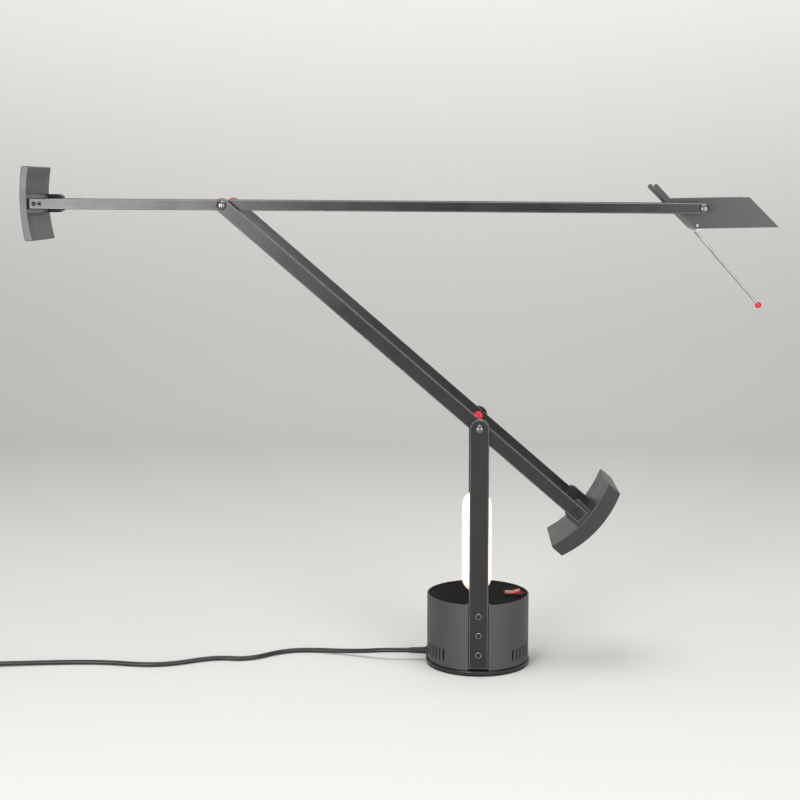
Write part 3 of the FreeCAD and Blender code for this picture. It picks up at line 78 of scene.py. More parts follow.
def add_node(tree: bpy.types.NodeTree, kind: str, inputs: dict | None = None,
             **settings: object) -> bpy.types.Node:
    """Add one shader node with its settings, values and links.

    Args:
        tree: the material's node tree.
        kind: Blender's name for the node's type.
        inputs: socket name or number to a value, or to the output socket that feeds it.
        **settings: the node's own properties.

    Returns:
        The new node.
    """
    node = tree.nodes.new(kind)
    for name, value in settings.items():
        setattr(node, name, value)
    for socket, source in (inputs or {}).items():
        if isinstance(source, bpy.types.NodeSocket):
            tree.links.new(source, node.inputs[socket])
        else:
            node.inputs[socket].default_value = source
    return node


def scale_for(size_mm: float) -> float:
    """Texture scale whose features are about this many millimetres across."""
    return 1.0 / (size_mm * MM)


# ---------------------------------------------------------------- finishes

class Edge(Enum):
    """How strongly a painted highlight lightens a painted part's corners."""

    FAINT_HIGHLIGHT = 0.7
    STRONG_HIGHLIGHT = 1.5


@dataclass(frozen=True)
class Finish:
    """A finish with a base colour and the tree that every finish starts from."""

    name: str
    colour: str
    roughness: float = 0.5
    ior: float = 1.5
    metallic: float = 0.0

    def start(self) -> tuple[bpy.types.Material, bpy.types.NodeTree, bpy.types.Node]:
        """Make the material with its shader's own sockets set.

        Returns:
            The material, its node tree and its principled shader.
        """
        material = bpy.data.materials.new(self.name)
        material.use_nodes = True
        tree = material.node_tree
        shader = tree.nodes["Principled BSDF"]
        shader.inputs["Base Color"].default_value = linear(self.colour)
        shader.inputs["Roughness"].default_value = self.roughness
        shader.inputs["Metallic"].default_value = self.metallic
        if not self.metallic:
            shader.inputs["IOR"].default_value = self.ior
        return material, tree, shader

    def make(self) -> bpy.types.Material:
        """Build the material; each finish adds its own detail."""
        return self.start()[0]


@dataclass(frozen=True)
class PowderCoat(Finish):
    """Baked powder paint on metal: a fine pebbled skin that breaks highlights into grain."""

    pebble_mm: float = 0.45
    relief_mm: float = 0.012
    highlight_colour: str = "#3a3a3b"
    edge: Edge = Edge.FAINT_HIGHLIGHT
    edge_mm: float = 0.8
    cloud_mm: float = 38.0
    highlight_speck_mm: float = 2.2
    specular: float = 0.5

    def make(self) -> bpy.types.Material:
        """Build the paint with its pebble, cloudy gloss and a painted highlight along its corners.

        Returns:
            The material.
        """
        material, tree, shader = self.start()
        shader.inputs["Specular IOR Level"].default_value = self.specular
        place = add_node(tree, "ShaderNodeTexCoord").outputs["Object"]
        pebble = add_node(tree, "ShaderNodeTexNoise", {
            "Vector": place, "Scale": scale_for(self.pebble_mm), "Detail": 3.0,
            "Roughness": 0.55})
        bump = add_node(tree, "ShaderNodeBump", {
            "Height": pebble.outputs["Fac"], "Strength": 0.6,
            "Distance": self.relief_mm * MM})
        tree.links.new(bump.outputs["Normal"], shader.inputs["Normal"])
        cloud = add_node(tree, "ShaderNodeTexNoise", {
            "Vector": place, "Scale": scale_for(self.cloud_mm), "Detail": 4.0, "Roughness": 0.6})
        sheen = add_node(tree, "ShaderNodeMapRange", {
            "Value": cloud.outputs["Fac"], "From Min": 0.3, "From Max": 0.7,
            "To Min": self.roughness - 0.05, "To Max": self.roughness + 0.06})
        tree.links.new(sheen.outputs["Result"], shader.inputs["Roughness"])
        # Painted highlight: corners found by the bevel are tinted towards the highlight colour,
        # broken into specks by noise.
        corner = add_node(tree, "ShaderNodeBevel", {"Radius": self.edge_mm * MM}, samples=4)
        face = add_node(tree, "ShaderNodeNewGeometry")
        turn = add_node(tree, "ShaderNodeVectorMath", {
            0: corner.outputs["Normal"], 1: face.outputs["Normal"]}, operation="DOT_PRODUCT")
        edge_highlight = add_node(tree, "ShaderNodeMapRange", {
            "Value": turn.outputs["Value"], "From Min": 0.99, "From Max": 0.88,
            "To Min": 0.0, "To Max": self.edge.value})
        speck = add_node(tree, "ShaderNodeTexNoise", {
            "Vector": place, "Scale": scale_for(self.highlight_speck_mm), "Detail": 5.0, "Roughness": 0.7})
        highlight_patch = add_node(tree, "ShaderNodeMath", {
            0: edge_highlight.outputs["Result"], 1: speck.outputs["Fac"]}, operation="MULTIPLY")
        highlight_tint = add_node(tree, "ShaderNodeMix", {
            "Factor": highlight_patch.outputs["Value"], "A": linear(self.colour),
            "B": linear(self.highlight_colour)}, data_type="RGBA")
        tree.links.new(highlight_tint.outputs["Result"], shader.inputs["Base Color"])
        return material


@dataclass(frozen=True)
class MouldedPlastic(Finish):
    """Injection-moulded plastic: an even colour with a faint flow sheen and a soft grain."""

    grain_mm: float = 0.3
    relief_mm: float = 0.004
    flow_mm: float = 9.0
    glow: float = 0.0
    glow_mm: float = 1.5

    def make(self) -> bpy.types.Material:
        """Build the plastic with its grain, flow sheen and slight depth of colour.

        Returns:
            The material.
        """
        material, tree, shader = self.start()
        place = add_node(tree, "ShaderNodeTexCoord").outputs["Object"]
        grain = add_node(tree, "ShaderNodeTexNoise", {
            "Vector": place, "Scale": scale_for(self.grain_mm), "Detail": 2.0})
        bump = add_node(tree, "ShaderNodeBump", {
            "Height": grain.outputs["Fac"], "Strength": 0.5, "Distance": self.relief_mm * MM})
        tree.links.new(bump.outputs["Normal"], shader.inputs["Normal"])
        flow = add_node(tree, "ShaderNodeTexNoise", {
            "Vector": place, "Scale": scale_for(self.flow_mm), "Detail": 3.0, "Distortion": 1.5})
        sheen = add_node(tree, "ShaderNodeMapRange", {
            "Value": flow.outputs["Fac"], "From Min": 0.3, "From Max": 0.7,
            "To Min": self.roughness - 0.04, "To Max": self.roughness + 0.05})
        tree.links.new(sheen.outputs["Result"], shader.inputs["Roughness"])
        if self.glow:
            shader.inputs["Subsurface Weight"].default_value = self.glow
            shader.inputs["Subsurface Scale"].default_value = self.glow_mm * MM
        return material


@dataclass(frozen=True)
class Metal(Finish):
    """Bare or plated metal: a fine ground texture under a cloudy haze."""

    line_mm: float = 0.12
    haze_mm: float = 6.0
    relief_mm: float = 0.003

    def make(self) -> bpy.types.Material:
        """Build the metal with its ground texture and cloudy haze.

        Returns:
            The material.
        """
        material, tree, shader = self.start()
        place = add_node(tree, "ShaderNodeTexCoord").outputs["Object"]
        lines = add_node(tree, "ShaderNodeTexNoise", {
            "Vector": place, "Scale": scale_for(self.line_mm), "Detail": 3.0})
        bump = add_node(tree, "ShaderNodeBump", {
            "Height": lines.outputs["Fac"], "Strength": 0.5, "Distance": self.relief_mm * MM})
        tree.links.new(bump.outputs["Normal"], shader.inputs["Normal"])
        haze = add_node(tree, "ShaderNodeTexNoise", {
            "Vector": place, "Scale": scale_for(self.haze_mm), "Detail": 4.0})
        sheen = add_node(tree, "ShaderNodeMapRange", {
            "Value": haze.outputs["Fac"], "From Min": 0.3, "From Max": 0.7,
            "To Min": max(self.roughness - 0.06, 0.02), "To Max": self.roughness + 0.07})
        tree.links.new(sheen.outputs["Result"], shader.inputs["Roughness"])
        return material


@dataclass(frozen=True)
class OpalGlass(Finish):
    """Cased opal glass, lit from inside: a white body with a clear, glossy outer skin."""

    limb_colour: str = "#c9681e"
    glow: float = 0.9
    foot_m: float = 0.0765
    top_m: float = 0.188
    skin_mm: float = 2.0

    def make(self) -> bpy.types.Material:
        """Build the glowing glass, a little dimmer and warmer towards its two ends.

        Returns:
            The material.
        """
        material, tree, shader = self.start()
        place = add_node(tree, "ShaderNodeTexCoord").outputs["Object"]
        height = add_node(tree, "ShaderNodeSeparateXYZ", {"Vector": place})
        rise = add_node(tree, "ShaderNodeValToRGB", {"Fac": add_node(
            tree, "ShaderNodeMapRange", {
                "Value": height.outputs["Z"], "From Min": self.foot_m, "From Max": self.top_m,
            }).outputs["Result"]})
        ramp = rise.color_ramp
        ramp.elements[0].color = linear("#f0d2a0")
        ramp.elements[1].color = linear("#f3dab0")
        for at, code in ((0.14, "#fff1d8"), (0.85, "#fff4e2")):
            ramp.elements.new(at).color = linear(code)
        rim = add_node(tree, "ShaderNodeLayerWeight", {"Blend": 0.18})
        limb = add_node(tree, "ShaderNodeMix", {
            "Factor": rim.outputs["Facing"], "A": rise.outputs["Color"],
            "B": linear(self.limb_colour)}, data_type="RGBA")
        tree.links.new(limb.outputs["Result"], shader.inputs["Emission Color"])
        shader.inputs["Emission Strength"].default_value = self.glow
        shader.inputs["Coat Weight"].default_value = 1.0
        shader.inputs["Coat Roughness"].default_value = 0.03
        shader.inputs["Subsurface Weight"].default_value = 0.4
        shader.inputs["Subsurface Scale"].default_value = self.skin_mm * MM
        return material


@dataclass(frozen=True)
class ClearGlass(Finish):
    """Clear drawn or pressed glass with a faint ripple."""

    ripple_mm: float = 14.0
    relief_mm: float = 0.05

    def make(self) -> bpy.types.Material:
        """Build the glass with its transmission and ripple.

        Returns:
            The material.
        """
        material, tree, shader = self.start()
        shader.inputs["Transmission Weight"].default_value = 1.0
        place = add_node(tree, "ShaderNodeTexCoord").outputs["Object"]
        ripple = add_node(tree, "ShaderNodeTexNoise", {
            "Vector": place, "Scale": scale_for(self.ripple_mm), "Detail": 1.0})
        bump = add_node(tree, "ShaderNodeBump", {
            "Height": ripple.outputs["Fac"], "Strength": 0.3,
            "Distance": self.relief_mm * MM})
        tree.links.new(bump.outputs["Normal"], shader.inputs["Normal"])
        return material


@dataclass(frozen=True)
class FilmTape(Finish):
    """Polyester film tape wound round a coil: overlapping turns with glossy edges."""

    turn_count: int = 60
    tape_mm: float = 0.1

    def make(self) -> bpy.types.Material:
        """Build the tape with one step for each overlapping turn round the ring.

        Returns:
            The material.
        """
        material, tree, shader = self.start()
        place = add_node(tree, "ShaderNodeTexCoord").outputs["Object"]
        axes = add_node(tree, "ShaderNodeSeparateXYZ", {"Vector": place})
        angle = add_node(tree, "ShaderNodeMath", {0: axes.outputs["Y"], 1: axes.outputs["X"]},
                         operation="ARCTAN2")
        turns = add_node(tree, "ShaderNodeMath", {
            0: angle.outputs["Value"], 1: self.turn_count / math.tau}, operation="MULTIPLY")
        step = add_node(tree, "ShaderNodeMath", {0: turns.outputs["Value"]}, operation="FRACT")
        bump = add_node(tree, "ShaderNodeBump", {
            "Height": step.outputs["Value"], "Strength": 0.8,
            "Distance": self.tape_mm * MM})
        tree.links.new(bump.outputs["Normal"], shader.inputs["Normal"])
        return material


@dataclass(frozen=True)
class BackdropPaper(Finish):
    """Matt paper of the floor and wall, with painted light that makes the wall show nearly as pale
    as the floor.
    """

    lift: float = 0.34
    lift_from: float = 0.1
    lift_to: float = 1.3

    def make(self) -> bpy.types.Material:
        """Build the paper with painted light that grows towards the wall's top, for camera rays
        and mirrors only.

        Returns:
            The material.
        """
        material, tree, shader = self.start()
        place = add_node(tree, "ShaderNodeNewGeometry").outputs["Position"]
        height = add_node(tree, "ShaderNodeSeparateXYZ", {"Vector": place})
        rise = add_node(tree, "ShaderNodeMapRange", {
            "Value": height.outputs["Z"], "From Min": self.lift_from,
            "From Max": self.lift_to, "To Max": self.lift}, interpolation_type="SMOOTHSTEP")
        path = add_node(tree, "ShaderNodeLightPath")
        mirrored = add_node(tree, "ShaderNodeMath", {
            0: path.outputs["Is Glossy Ray"], 1: path.outputs["Is Transmission Ray"]},
            operation="MAXIMUM")
        seen = add_node(tree, "ShaderNodeMath", {
            0: path.outputs["Is Camera Ray"], 1: mirrored.outputs["Value"]},
            operation="MAXIMUM")
        strength = add_node(tree, "ShaderNodeMath", {
            0: rise.outputs["Result"], 1: seen.outputs["Value"]}, operation="MULTIPLY")
        # Painted light: emission on the wall, rising with height.
        shader.inputs["Emission Color"].default_value = linear("#ffffff")
        tree.links.new(strength.outputs["Value"], shader.inputs["Emission Strength"])
        return material


# Powder paint on the steel housing is the arms' black paint, painted lighter here to stand in for
# the light it catches: it gives a broad, soft highlight.
HOUSING_PAINT = PowderCoat("lit_copy_black_coat_housing", "#3b3b3c", 0.5,
                           highlight_colour="#6c6c6d")
# The arms have black semi-gloss powder paint, which mirrors the lamps in soft long patches
# and has a strong painted highlight along its corners.
ARM_PAINT = PowderCoat("black_powder_coat_arms", "#141415", 0.3, relief_mm=0.004,
                       edge=Edge.STRONG_HIGHLIGHT, highlight_colour="#b4b4b6")
# The shade's thin sheet has the same paint, painted greyer to stand in for the light its cheeks
# catch, more matt, with a strong painted highlight along its corners.
SHADE_PAINT = PowderCoat("black_powder_coat_shade", "#303031", 0.4, relief_mm=0.004,
                         edge=Edge.STRONG_HIGHLIGHT, highlight_colour="#8a8a8b")
# Cast iron weights are painted thicker, so the grain of the casting shows under the gloss.
WEIGHT_PAINT = PowderCoat("black_paint_cast_iron", "#242425", 0.34, pebble_mm=0.9,
                          relief_mm=0.012, edge=Edge.STRONG_HIGHLIGHT, highlight_colour="#9c9c9d")
# The top plate's smooth enamel is the darkest face, with only a faint sheen at low angles.
PLATE_ENAMEL = PowderCoat("black_enamel_plate", "#0a0a0b", 0.26, pebble_mm=0.6,
                          relief_mm=0.002, highlight_colour="#2a2a2b", specular=0.004)
# The foot is a turned steel disc, painted and polished, so its rim takes long bright lines.
FOOT_GLOSS = PowderCoat("polished_black_paint_foot", "#1d1d1e", 0.16, relief_mm=0.001,
                        highlight_colour="#6a6a6a")
# Blackened steel screws: dark oxide with a dull metal sheen.
BLACK_OXIDE = Metal("black_oxide_steel", "#3a3a3c", 0.38, metallic=1.0)
# Dark nickel of the domed pivot pins: a smoky mirror with a bright round highlight.
DARK_NICKEL = Metal("dark_nickel_plated_steel", "#6e6e71", 0.3, metallic=1.0)
# Nickel-plated socket screws: a pale ring round the black hexagon.
SCREW_NICKEL = Metal("nickel_plated_steel", "#9a9a9c", 0.26, metallic=1.0)
# Painted shade: a dead black for dishes and rings laid where shade falls, in the screws' sockets
# and round the pins; no light comes back from it.
PAINTED_SHADE_BLACK = MouldedPlastic("painted_shade_black", "#050505", 0.7, 1.45)
# Polished steel of washers, clips, small screws and plug pins: a bright, tight mirror.
BRIGHT_STEEL = Metal("polished_steel", "#c8c8ca", 0.16, metallic=1.0, relief_mm=0.0008)
# The handle's drawn wire and its bent plate: steel, a little duller than turned pins.
WIRE_STEEL = Metal("drawn_steel_wire", "#9c9c9e", 0.24, metallic=1.0, relief_mm=0.0008)
# Zinc-plated steel of the inner hardware has a faintly yellow, hazy plating.
ZINC_STEEL = Metal("zinc_plated_steel", "#b9b8b0", 0.34, metallic=1.0)
# The reflector is anodised aluminium sheet, bright and slightly hazed.
REFLECTOR_SHEET = Metal("anodised_aluminium_reflector", "#e6e6e4", 0.16, metallic=1.0)
# Nylon caps and ball, moulded in red, with light going a little way in.
RED_NYLON = MouldedPlastic("red_moulded_nylon", "#c51029", 0.3, 1.53, glow=0.15)
# The rocker is glossy polycarbonate in a warmer red.
RED_ROCKER = MouldedPlastic("orange_red_polycarbonate", "#b8281a", 0.2, 1.58, glow=0.2)
# Black glass-filled nylon of lugs, bushes, socket and switch case: dull with a dry grain.
BLACK_NYLON = MouldedPlastic("black_moulded_nylon", "#161617", 0.5, 1.53, grain_mm=0.5,
                             relief_mm=0.01)
# Flexible PVC of the cord and the plug: soft satin, slightly waxy.
BLACK_PVC = MouldedPlastic("black_soft_pvc", "#191919", 0.4, 1.53, grain_mm=0.8,
                           relief_mm=0.006)
# Moulded rubber of the foot's sole: dead matt.
RUBBER = MouldedPlastic("black_rubber_sole", "#151515", 0.85, 1.5, grain_mm=0.7,
                        relief_mm=0.02)
# Skived fluoropolymer ring: waxy white.
WAXY_RING = MouldedPlastic("white_fluoropolymer_ring", "#e4e4e0", 0.35, 1.38, glow=0.3)
# Ceramic of the lampholder: fired, unglazed and chalky.
CERAMIC = MouldedPlastic("fired_steatite_ceramic", "#dfdad0", 0.6, 1.6, grain_mm=0.6,
                         relief_mm=0.015)
# Terminal block in natural polyamide.
NATURAL_NYLON = MouldedPlastic("natural_polyamide", "#e3e0d6", 0.42, 1.53, glow=0.2)
OPAL = OpalGlass("cased_opal_glass", "#fbf7ee", 0.12, 1.5)
TUBE_GLOW = OpalGlass("frosted_lamp_tube", "#fff0d4", 0.4, 1.5, glow=2.0)
CLEAR = ClearGlass("toughened_flat_glass", "#f4faf7", 0.02, 1.52)
QUARTZ = ClearGlass("clear_quartz_bulb", "#ffffff", 0.01, 1.46)
# Varnished black tape on the transformer's ring, so nothing pale shows behind the vents.
WINDING_TAPE = FilmTape("varnished_black_tape", "#1a1715", 0.3, 1.6)
# Drawn tungsten of the filament: dull grey with a very fine texture.
TUNGSTEN = Metal("drawn_tungsten", "#8d8b88", 0.35, metallic=1.0, line_mm=0.05)


# ---------------------------------------------------------------- mesh helpers

def finish_nodes(finish: Finish, *nodes: str) -> None:
    """Give CAD nodes a finish.

    Args:
        finish: the finish that they share.
        *nodes: the names of the CAD nodes.
    """
    material = bpy.data.materials.get(finish.name) or finish.make()
    for name in nodes:
        piece = frame["nodes"][name]
        piece.data.materials.clear()
        piece.data.materials.append(material)
        log.info("dressed %s in %s", name, finish.name)


def dress(piece: bpy.types.Object, finish: Finish) -> bpy.types.Object:
    """Give a Blender piece its finish.

    Args:
        piece: the piece.
        finish: its finish.

    Returns:
        The same piece.
    """
    material = bpy.data.materials.get(finish.name) or finish.make()
    piece.data.materials.clear()
    piece.data.materials.append(material)
    return piece


def mesh_piece(name: str, mesh: bmesh.types.BMesh, smooth_angle: float = 35.0
               ) -> bpy.types.Object:
    """Turn a built mesh into an object in the scene.

    Args:
        name: the piece's name.
        mesh: the geometry, which is freed.
        smooth_angle: corners sharper than this many degrees stay sharp.

    Returns:
        The new object.
    """
    data = bpy.data.meshes.new(name)
    bmesh.ops.recalc_face_normals(mesh, faces=mesh.faces)
    mesh.to_mesh(data)
    mesh.free()
    data.shade_smooth()
    data.set_sharp_from_angle(angle=math.radians(smooth_angle))
    piece = bpy.data.objects.new(name, data)
    bpy.context.scene.collection.objects.link(piece)
    return piece


def lathe(name: str, profile: list[tuple[float, float]], place: Matrix,
          segments: int = 64) -> bpy.types.Object:
    """Turn an outline about its axis.

    Args:
        name: the piece's name.
        profile: (radius, height) points in millimetres, from axis to axis.
        place: turns and moves the axis, which starts as +Z.
        segments: facets round the axis.

    Returns:
        The closed, smooth-shaded piece.
    """
    mesh = bmesh.new()
    rings = []
    for radius, height in profile:
        if radius < 1e-6:
            rings.append([mesh.verts.new(place @ Vector((0, 0, height * MM)))])
            continue
        ring = []
        for k in range(segments):
            angle = math.tau * k / segments
            ring.append(mesh.verts.new(place @ Vector((
                radius * MM * math.cos(angle), radius * MM * math.sin(angle), height * MM))))
        rings.append(ring)
    for low, high in zip(rings, rings[1:]):
        for k in range(segments):
            after = (k + 1) % segments
            corners = [low[k % len(low)], low[after % len(low)],
                       high[after % len(high)], high[k % len(high)]]
            corners = list(dict.fromkeys(corners))
            if len(corners) > 2:
                mesh.faces.new(corners)
    return mesh_piece(name, mesh)


def outward(side: float, at_mm: Point) -> Matrix:
    """Place an axis that points out of the front (-1) or the back (+1) at a point in mm."""
    turn = Matrix.Rotation(math.radians(-90 * side), 4, "X")
    return Matrix.Translation(Vector(at_mm) * MM) @ turn


def middle_mm(node: str) -> Vector:
    """Middle of a CAD node's box in millimetres."""
    low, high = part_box(node)
    return (Vector(low) + Vector(high)) / 2 / MM


def socket_floors(node: str, body: str, across_mm: float, depth_mm: float,
                  heights_mm: tuple[float, ...] = ()) -> None:
    """Lay a dark hexagonal dish of painted shade in the bottom of each screw's socket.

    Args:
        node: the CAD node of the screws, one on the front and one on the back.
        body: the body that they ride on.
        across_mm: the socket's width across its flats.
        depth_mm: how far the dish lies below the screws' faces.
        heights_mm: heights of the screws, where there are more than one on each side.
    """
    centre = middle_mm(node)
    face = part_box(node)[1][1] / MM
    reach = across_mm / math.sqrt(3) * 1.04
    profile = [(0, -0.3), (reach, -0.3), (reach, 0.0), (reach * 0.86, -0.12), (0, -0.12)]
    for side in (-1, 1):
        for k, height in enumerate(heights_mm or (centre.z,)):
            place = outward(side, (centre.x, side * (face - depth_mm), height))
            name = "%s_socket_%s_%d" % (node, "back" if side > 0 else "front", k)
            dish = lathe(name, profile, place, segments=6)
            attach(dress(dish, PAINTED_SHADE_BLACK), body)
    log.info("laid the sockets' floors of %s", node)


def pin_shade_rings(node: str, body: str, radius_mm: float, face_mm: float) -> None:
    """Lay a thin black ring of painted shade under each dome-headed pin, where a dark gap outlines
    it.

    Args:
        node: the CAD node of the pins.
        body: the body that they ride on.
        radius_mm: the ring's radius.
        face_mm: distance of the bar's outer face from the middle.
    """
    centre = middle_mm(node)
    profile = [(0, 0.01), (radius_mm, 0.01), (radius_mm, 0.06), (radius_mm - 0.1, 0.1),
               (0, 0.1)]
    for side in (-1, 1):
        place = outward(side, (centre.x, side * face_mm, centre.z))
        shade_ring = lathe("%s_washer_%s" % (node, "back" if side > 0 else "front"), profile, place)
        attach(dress(shade_ring, PAINTED_SHADE_BLACK), body)
    log.info("laid the washers of %s", node)


# ---------------------------------------------------------------- the mains lead

@dataclass
class MainsLead:
    """The black cord from the housing to the plug, with its put-away coil."""

    diameter_mm: float = 5.0
    coil_radius_mm: float = 39.0
    pitch_mm: float = 5.6
    lead_mm: float = 7.0
    tail_mm: float = 23.8
    turns_in: int = 6
    points_per_half: int = 8
    length_mm: float = 1690.0

    ROUTE_MM: ClassVar[list[Point]] = [
        (-76.05, 1.5, 11.0),
        (-98.0, 1.5, 11.0),
        (-124.0, 11.0, 6.6),
        (-150.0, 20.0, 3.6),
        (-182.0, 27.0, 2.6),
        (-214.0, 22.0, 2.6),
        (-247.0, -10.0, 2.6),
        (-285.0, -3.5, 2.6),
        (-325.0, -28.0, 2.6),
        (-357.0, -33.0, 2.6),
        (-400.0, -24.0, 2.6),
        (-455.0, -26.5, 2.6),
        (-512.0, -35.5, 3.2),
        (-560.0, -41.0, 3.2),
    ]

    def half_turn(self, start: Vector, radial: Vector, radius: float,
                  rise: float) -> list[Vector]:
        """Control points of half a turn of the coil.

        Args:
            start: where the half turn begins.
            radial: direction from the turn's centre to start.
            radius: the turn's radius.
            rise: how far the cord climbs on the way.

        Returns:
            Points just outside the turn, whose spline lies on it.
        """
        ahead = Vector((-radial.y, radial.x, 0))
        centre = start - radial * radius
        step = math.pi / self.points_per_half
        reach = radius / math.cos(step / 2)
        points = []
        for k in range(self.points_per_half):
            angle = (k + 0.5) * step
            share = angle / math.pi
            lift = rise * share * share * (3 - 2 * share)
            point = centre + (radial * math.cos(angle) + ahead * math.sin(angle)) * reach
            points.append(point + Vector((0, 0, lift)))
        return points

    def coil_points(self) -> list[Vector]:
        """Control points of the whole coil.

        Returns:
            The points in millimetres; the plug begins at the last one.
        """
        before, start = (Vector(point) for point in self.ROUTE_MM[-2:])
        flat = (start - before).normalized()
        flat.z = 0
        flat.normalize()
        here = start + flat * self.lead_mm
        radial = Vector((flat.y, -flat.x, 0))
        radii = [self.coil_radius_mm - k * self.pitch_mm / 2 for k in range(self.turns_in + 1)]
        points = []
        for radius in radii + radii[-2:0:-1]:
            rise = self.pitch_mm if radius == radii[-1] else 0.0
            points += self.half_turn(here, radial, radius, rise)
            here = here - radial * (2 * radius) + Vector((0, 0, rise))
            radial = -radial
        ahead = Vector((-radial.y, radial.x, 0))
        points += [here + ahead * (self.tail_mm * share) for share in (0.35, 1.0)]
        return points

    def build(self) -> None:
        """Lay the cord, its tie and its plug."""
        coil = self.coil_points()
        points = [Vector(point) for point in self.ROUTE_MM] + coil
        curve = bpy.data.curves.new("mains_cord_sheath", "CURVE")
        curve.dimensions = "3D"
        spline = curve.splines.new("NURBS")
        spline.points.add(len(points) - 1)
        for control, point in zip(spline.points, points):
            control.co = (*(point * MM), 1.0)
        spline.order_u = 3
        spline.use_endpoint_u = True
        spline.resolution_u = 8
        curve.bevel_depth = self.diameter_mm / 2 * MM
        curve.bevel_resolution = 6
        curve.use_fill_caps = True
        cord = bpy.data.objects.new("mains_cord_sheath", curve)
        bpy.context.scene.collection.objects.link(cord)
        dress(cord, BLACK_PVC)
        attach(cord, "base")
        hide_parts("mains_cord", "cord_coil")
        finish_nodes(BLACK_PVC, "plug_body")
        finish_nodes(BRIGHT_STEEL, "plug_pins")
        finish_nodes(BLACK_NYLON, "cord_tie")
        self.strain_relief()
        ribs = self.plug_ribs(coil)
        log.info("laid the mains cord along %d points", len(points))

    def strain_relief(self) -> None:
        """Build the tapered, ringed sleeve where the cord leaves the housing."""
        exit_mm = (-54.55, 1.5, 11.0)
        flange, root, tip, length = 5.0, 3.4, 2.72, 21.4
        profile = [(0, -0.4), (flange - 0.6, -0.4), (flange, 0.3), (flange - 0.2, 1.3),
                   (flange - 0.7, 1.5), (root + 0.3, 1.6)]
        ring_count, first_ring, ring_pitch, half_ring = 6, 3.6, 2.8, 1.1
        for k in range(ring_count):
            middle = first_ring + ring_pitch * k
            neck = root + (tip - root) * middle / length
            profile += [(neck, middle - half_ring), (neck + 0.38, middle - 0.7),
                        (neck + 0.42, middle), (neck + 0.38, middle + 0.7),
                        (neck, middle + half_ring)]
        profile += [(tip, length - 0.5), (tip - 0.15, length), (0, length)]
        place = (Matrix.Translation(Vector(exit_mm) * MM)
                 @ Matrix.Rotation(math.radians(-90), 4, "Y"))
        sleeve = dress(lathe("strain_relief_sleeve", profile, place), BLACK_PVC)
        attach(sleeve, "base")
        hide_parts("cord_gland")

    def plug_ribs(self, coil: list[Vector]) -> list[bpy.types.Object]:
        """Build the finger ribs on both flat faces of the plug.

        Args:
            coil: the coil's control points; the plug lies along the last two.

        Returns:
            The ribs.
        """
        away = (coil[-1] - coil[-2]).normalized()
        across = Vector((-away.y, away.x, 0))
        top_face, under_face, first, spacing, count = 8.2, -7.9, 27.0, 3.3, 4
        half_length, bulge = 10.5, 0.75
        profile = [(0, -half_length), (bulge * 0.7, -half_length + 0.2),
                   (bulge, -half_length + 0.9), (bulge, half_length - 0.9),
                   (bulge * 0.7, half_length - 0.2), (0, half_length)]
        turn = Vector((0, 0, 1)).rotation_difference(across).to_matrix().to_4x4()
        ribs = []
        for face, height in (("top", top_face), ("under", under_face)):
            for k in range(count):
                at = coil[-1] + away * (first + spacing * k) + Vector((0, 0, height))
                rib = lathe("plug_rib_%s_%d" % (face, k), profile,
                            Matrix.Translation(at * MM) @ turn, segments=16)
                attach(dress(rib, BLACK_PVC), "base")
                ribs.append(rib)
        return ribs


# ---------------------------------------------------------------- sub-assemblies

@dataclass
class Base:
    """Foot, housing, plates and what they hold."""

    screw_heights_mm: tuple[float, ...] = (23.0, 43.8, 64.4)
    screw_socket_mm: float = 4.5

    def build(self) -> None:
        """Dress the foot and the housing."""
        finish_nodes(HOUSING_PAINT, "housing_shell")
        finish_nodes(FOOT_GLOSS, "foot_disc")
        finish_nodes(PLATE_ENAMEL, "top_plate")
        finish_nodes(RUBBER, "foot_pad")
        finish_nodes(WAXY_RING, "thrust_ring")
        finish_nodes(ZINC_STEEL, "swivel_post", "swivel_clip", "base_plate", "stem_nut_plates",
                     "transformer_washer", "transformer_bolt")
        finish_nodes(WINDING_TAPE, "transformer_winding")
        finish_nodes(BLACK_NYLON, "transformer_hub", "switch_housing", "light_socket")
        finish_nodes(NATURAL_NYLON, "terminal_block")
        finish_nodes(BLACK_OXIDE, "cover_screws")
        finish_nodes(RED_ROCKER, "switch_rocker")
        finish_nodes(OPAL, "light_glass")
        finish_nodes(TUBE_GLOW, "light_tube")
        finish_nodes(SCREW_NICKEL, "stem_screws")
        socket_floors("stem_screws", "base", self.screw_socket_mm, FLUSH_DEPTH_MM,
                      self.screw_heights_mm)


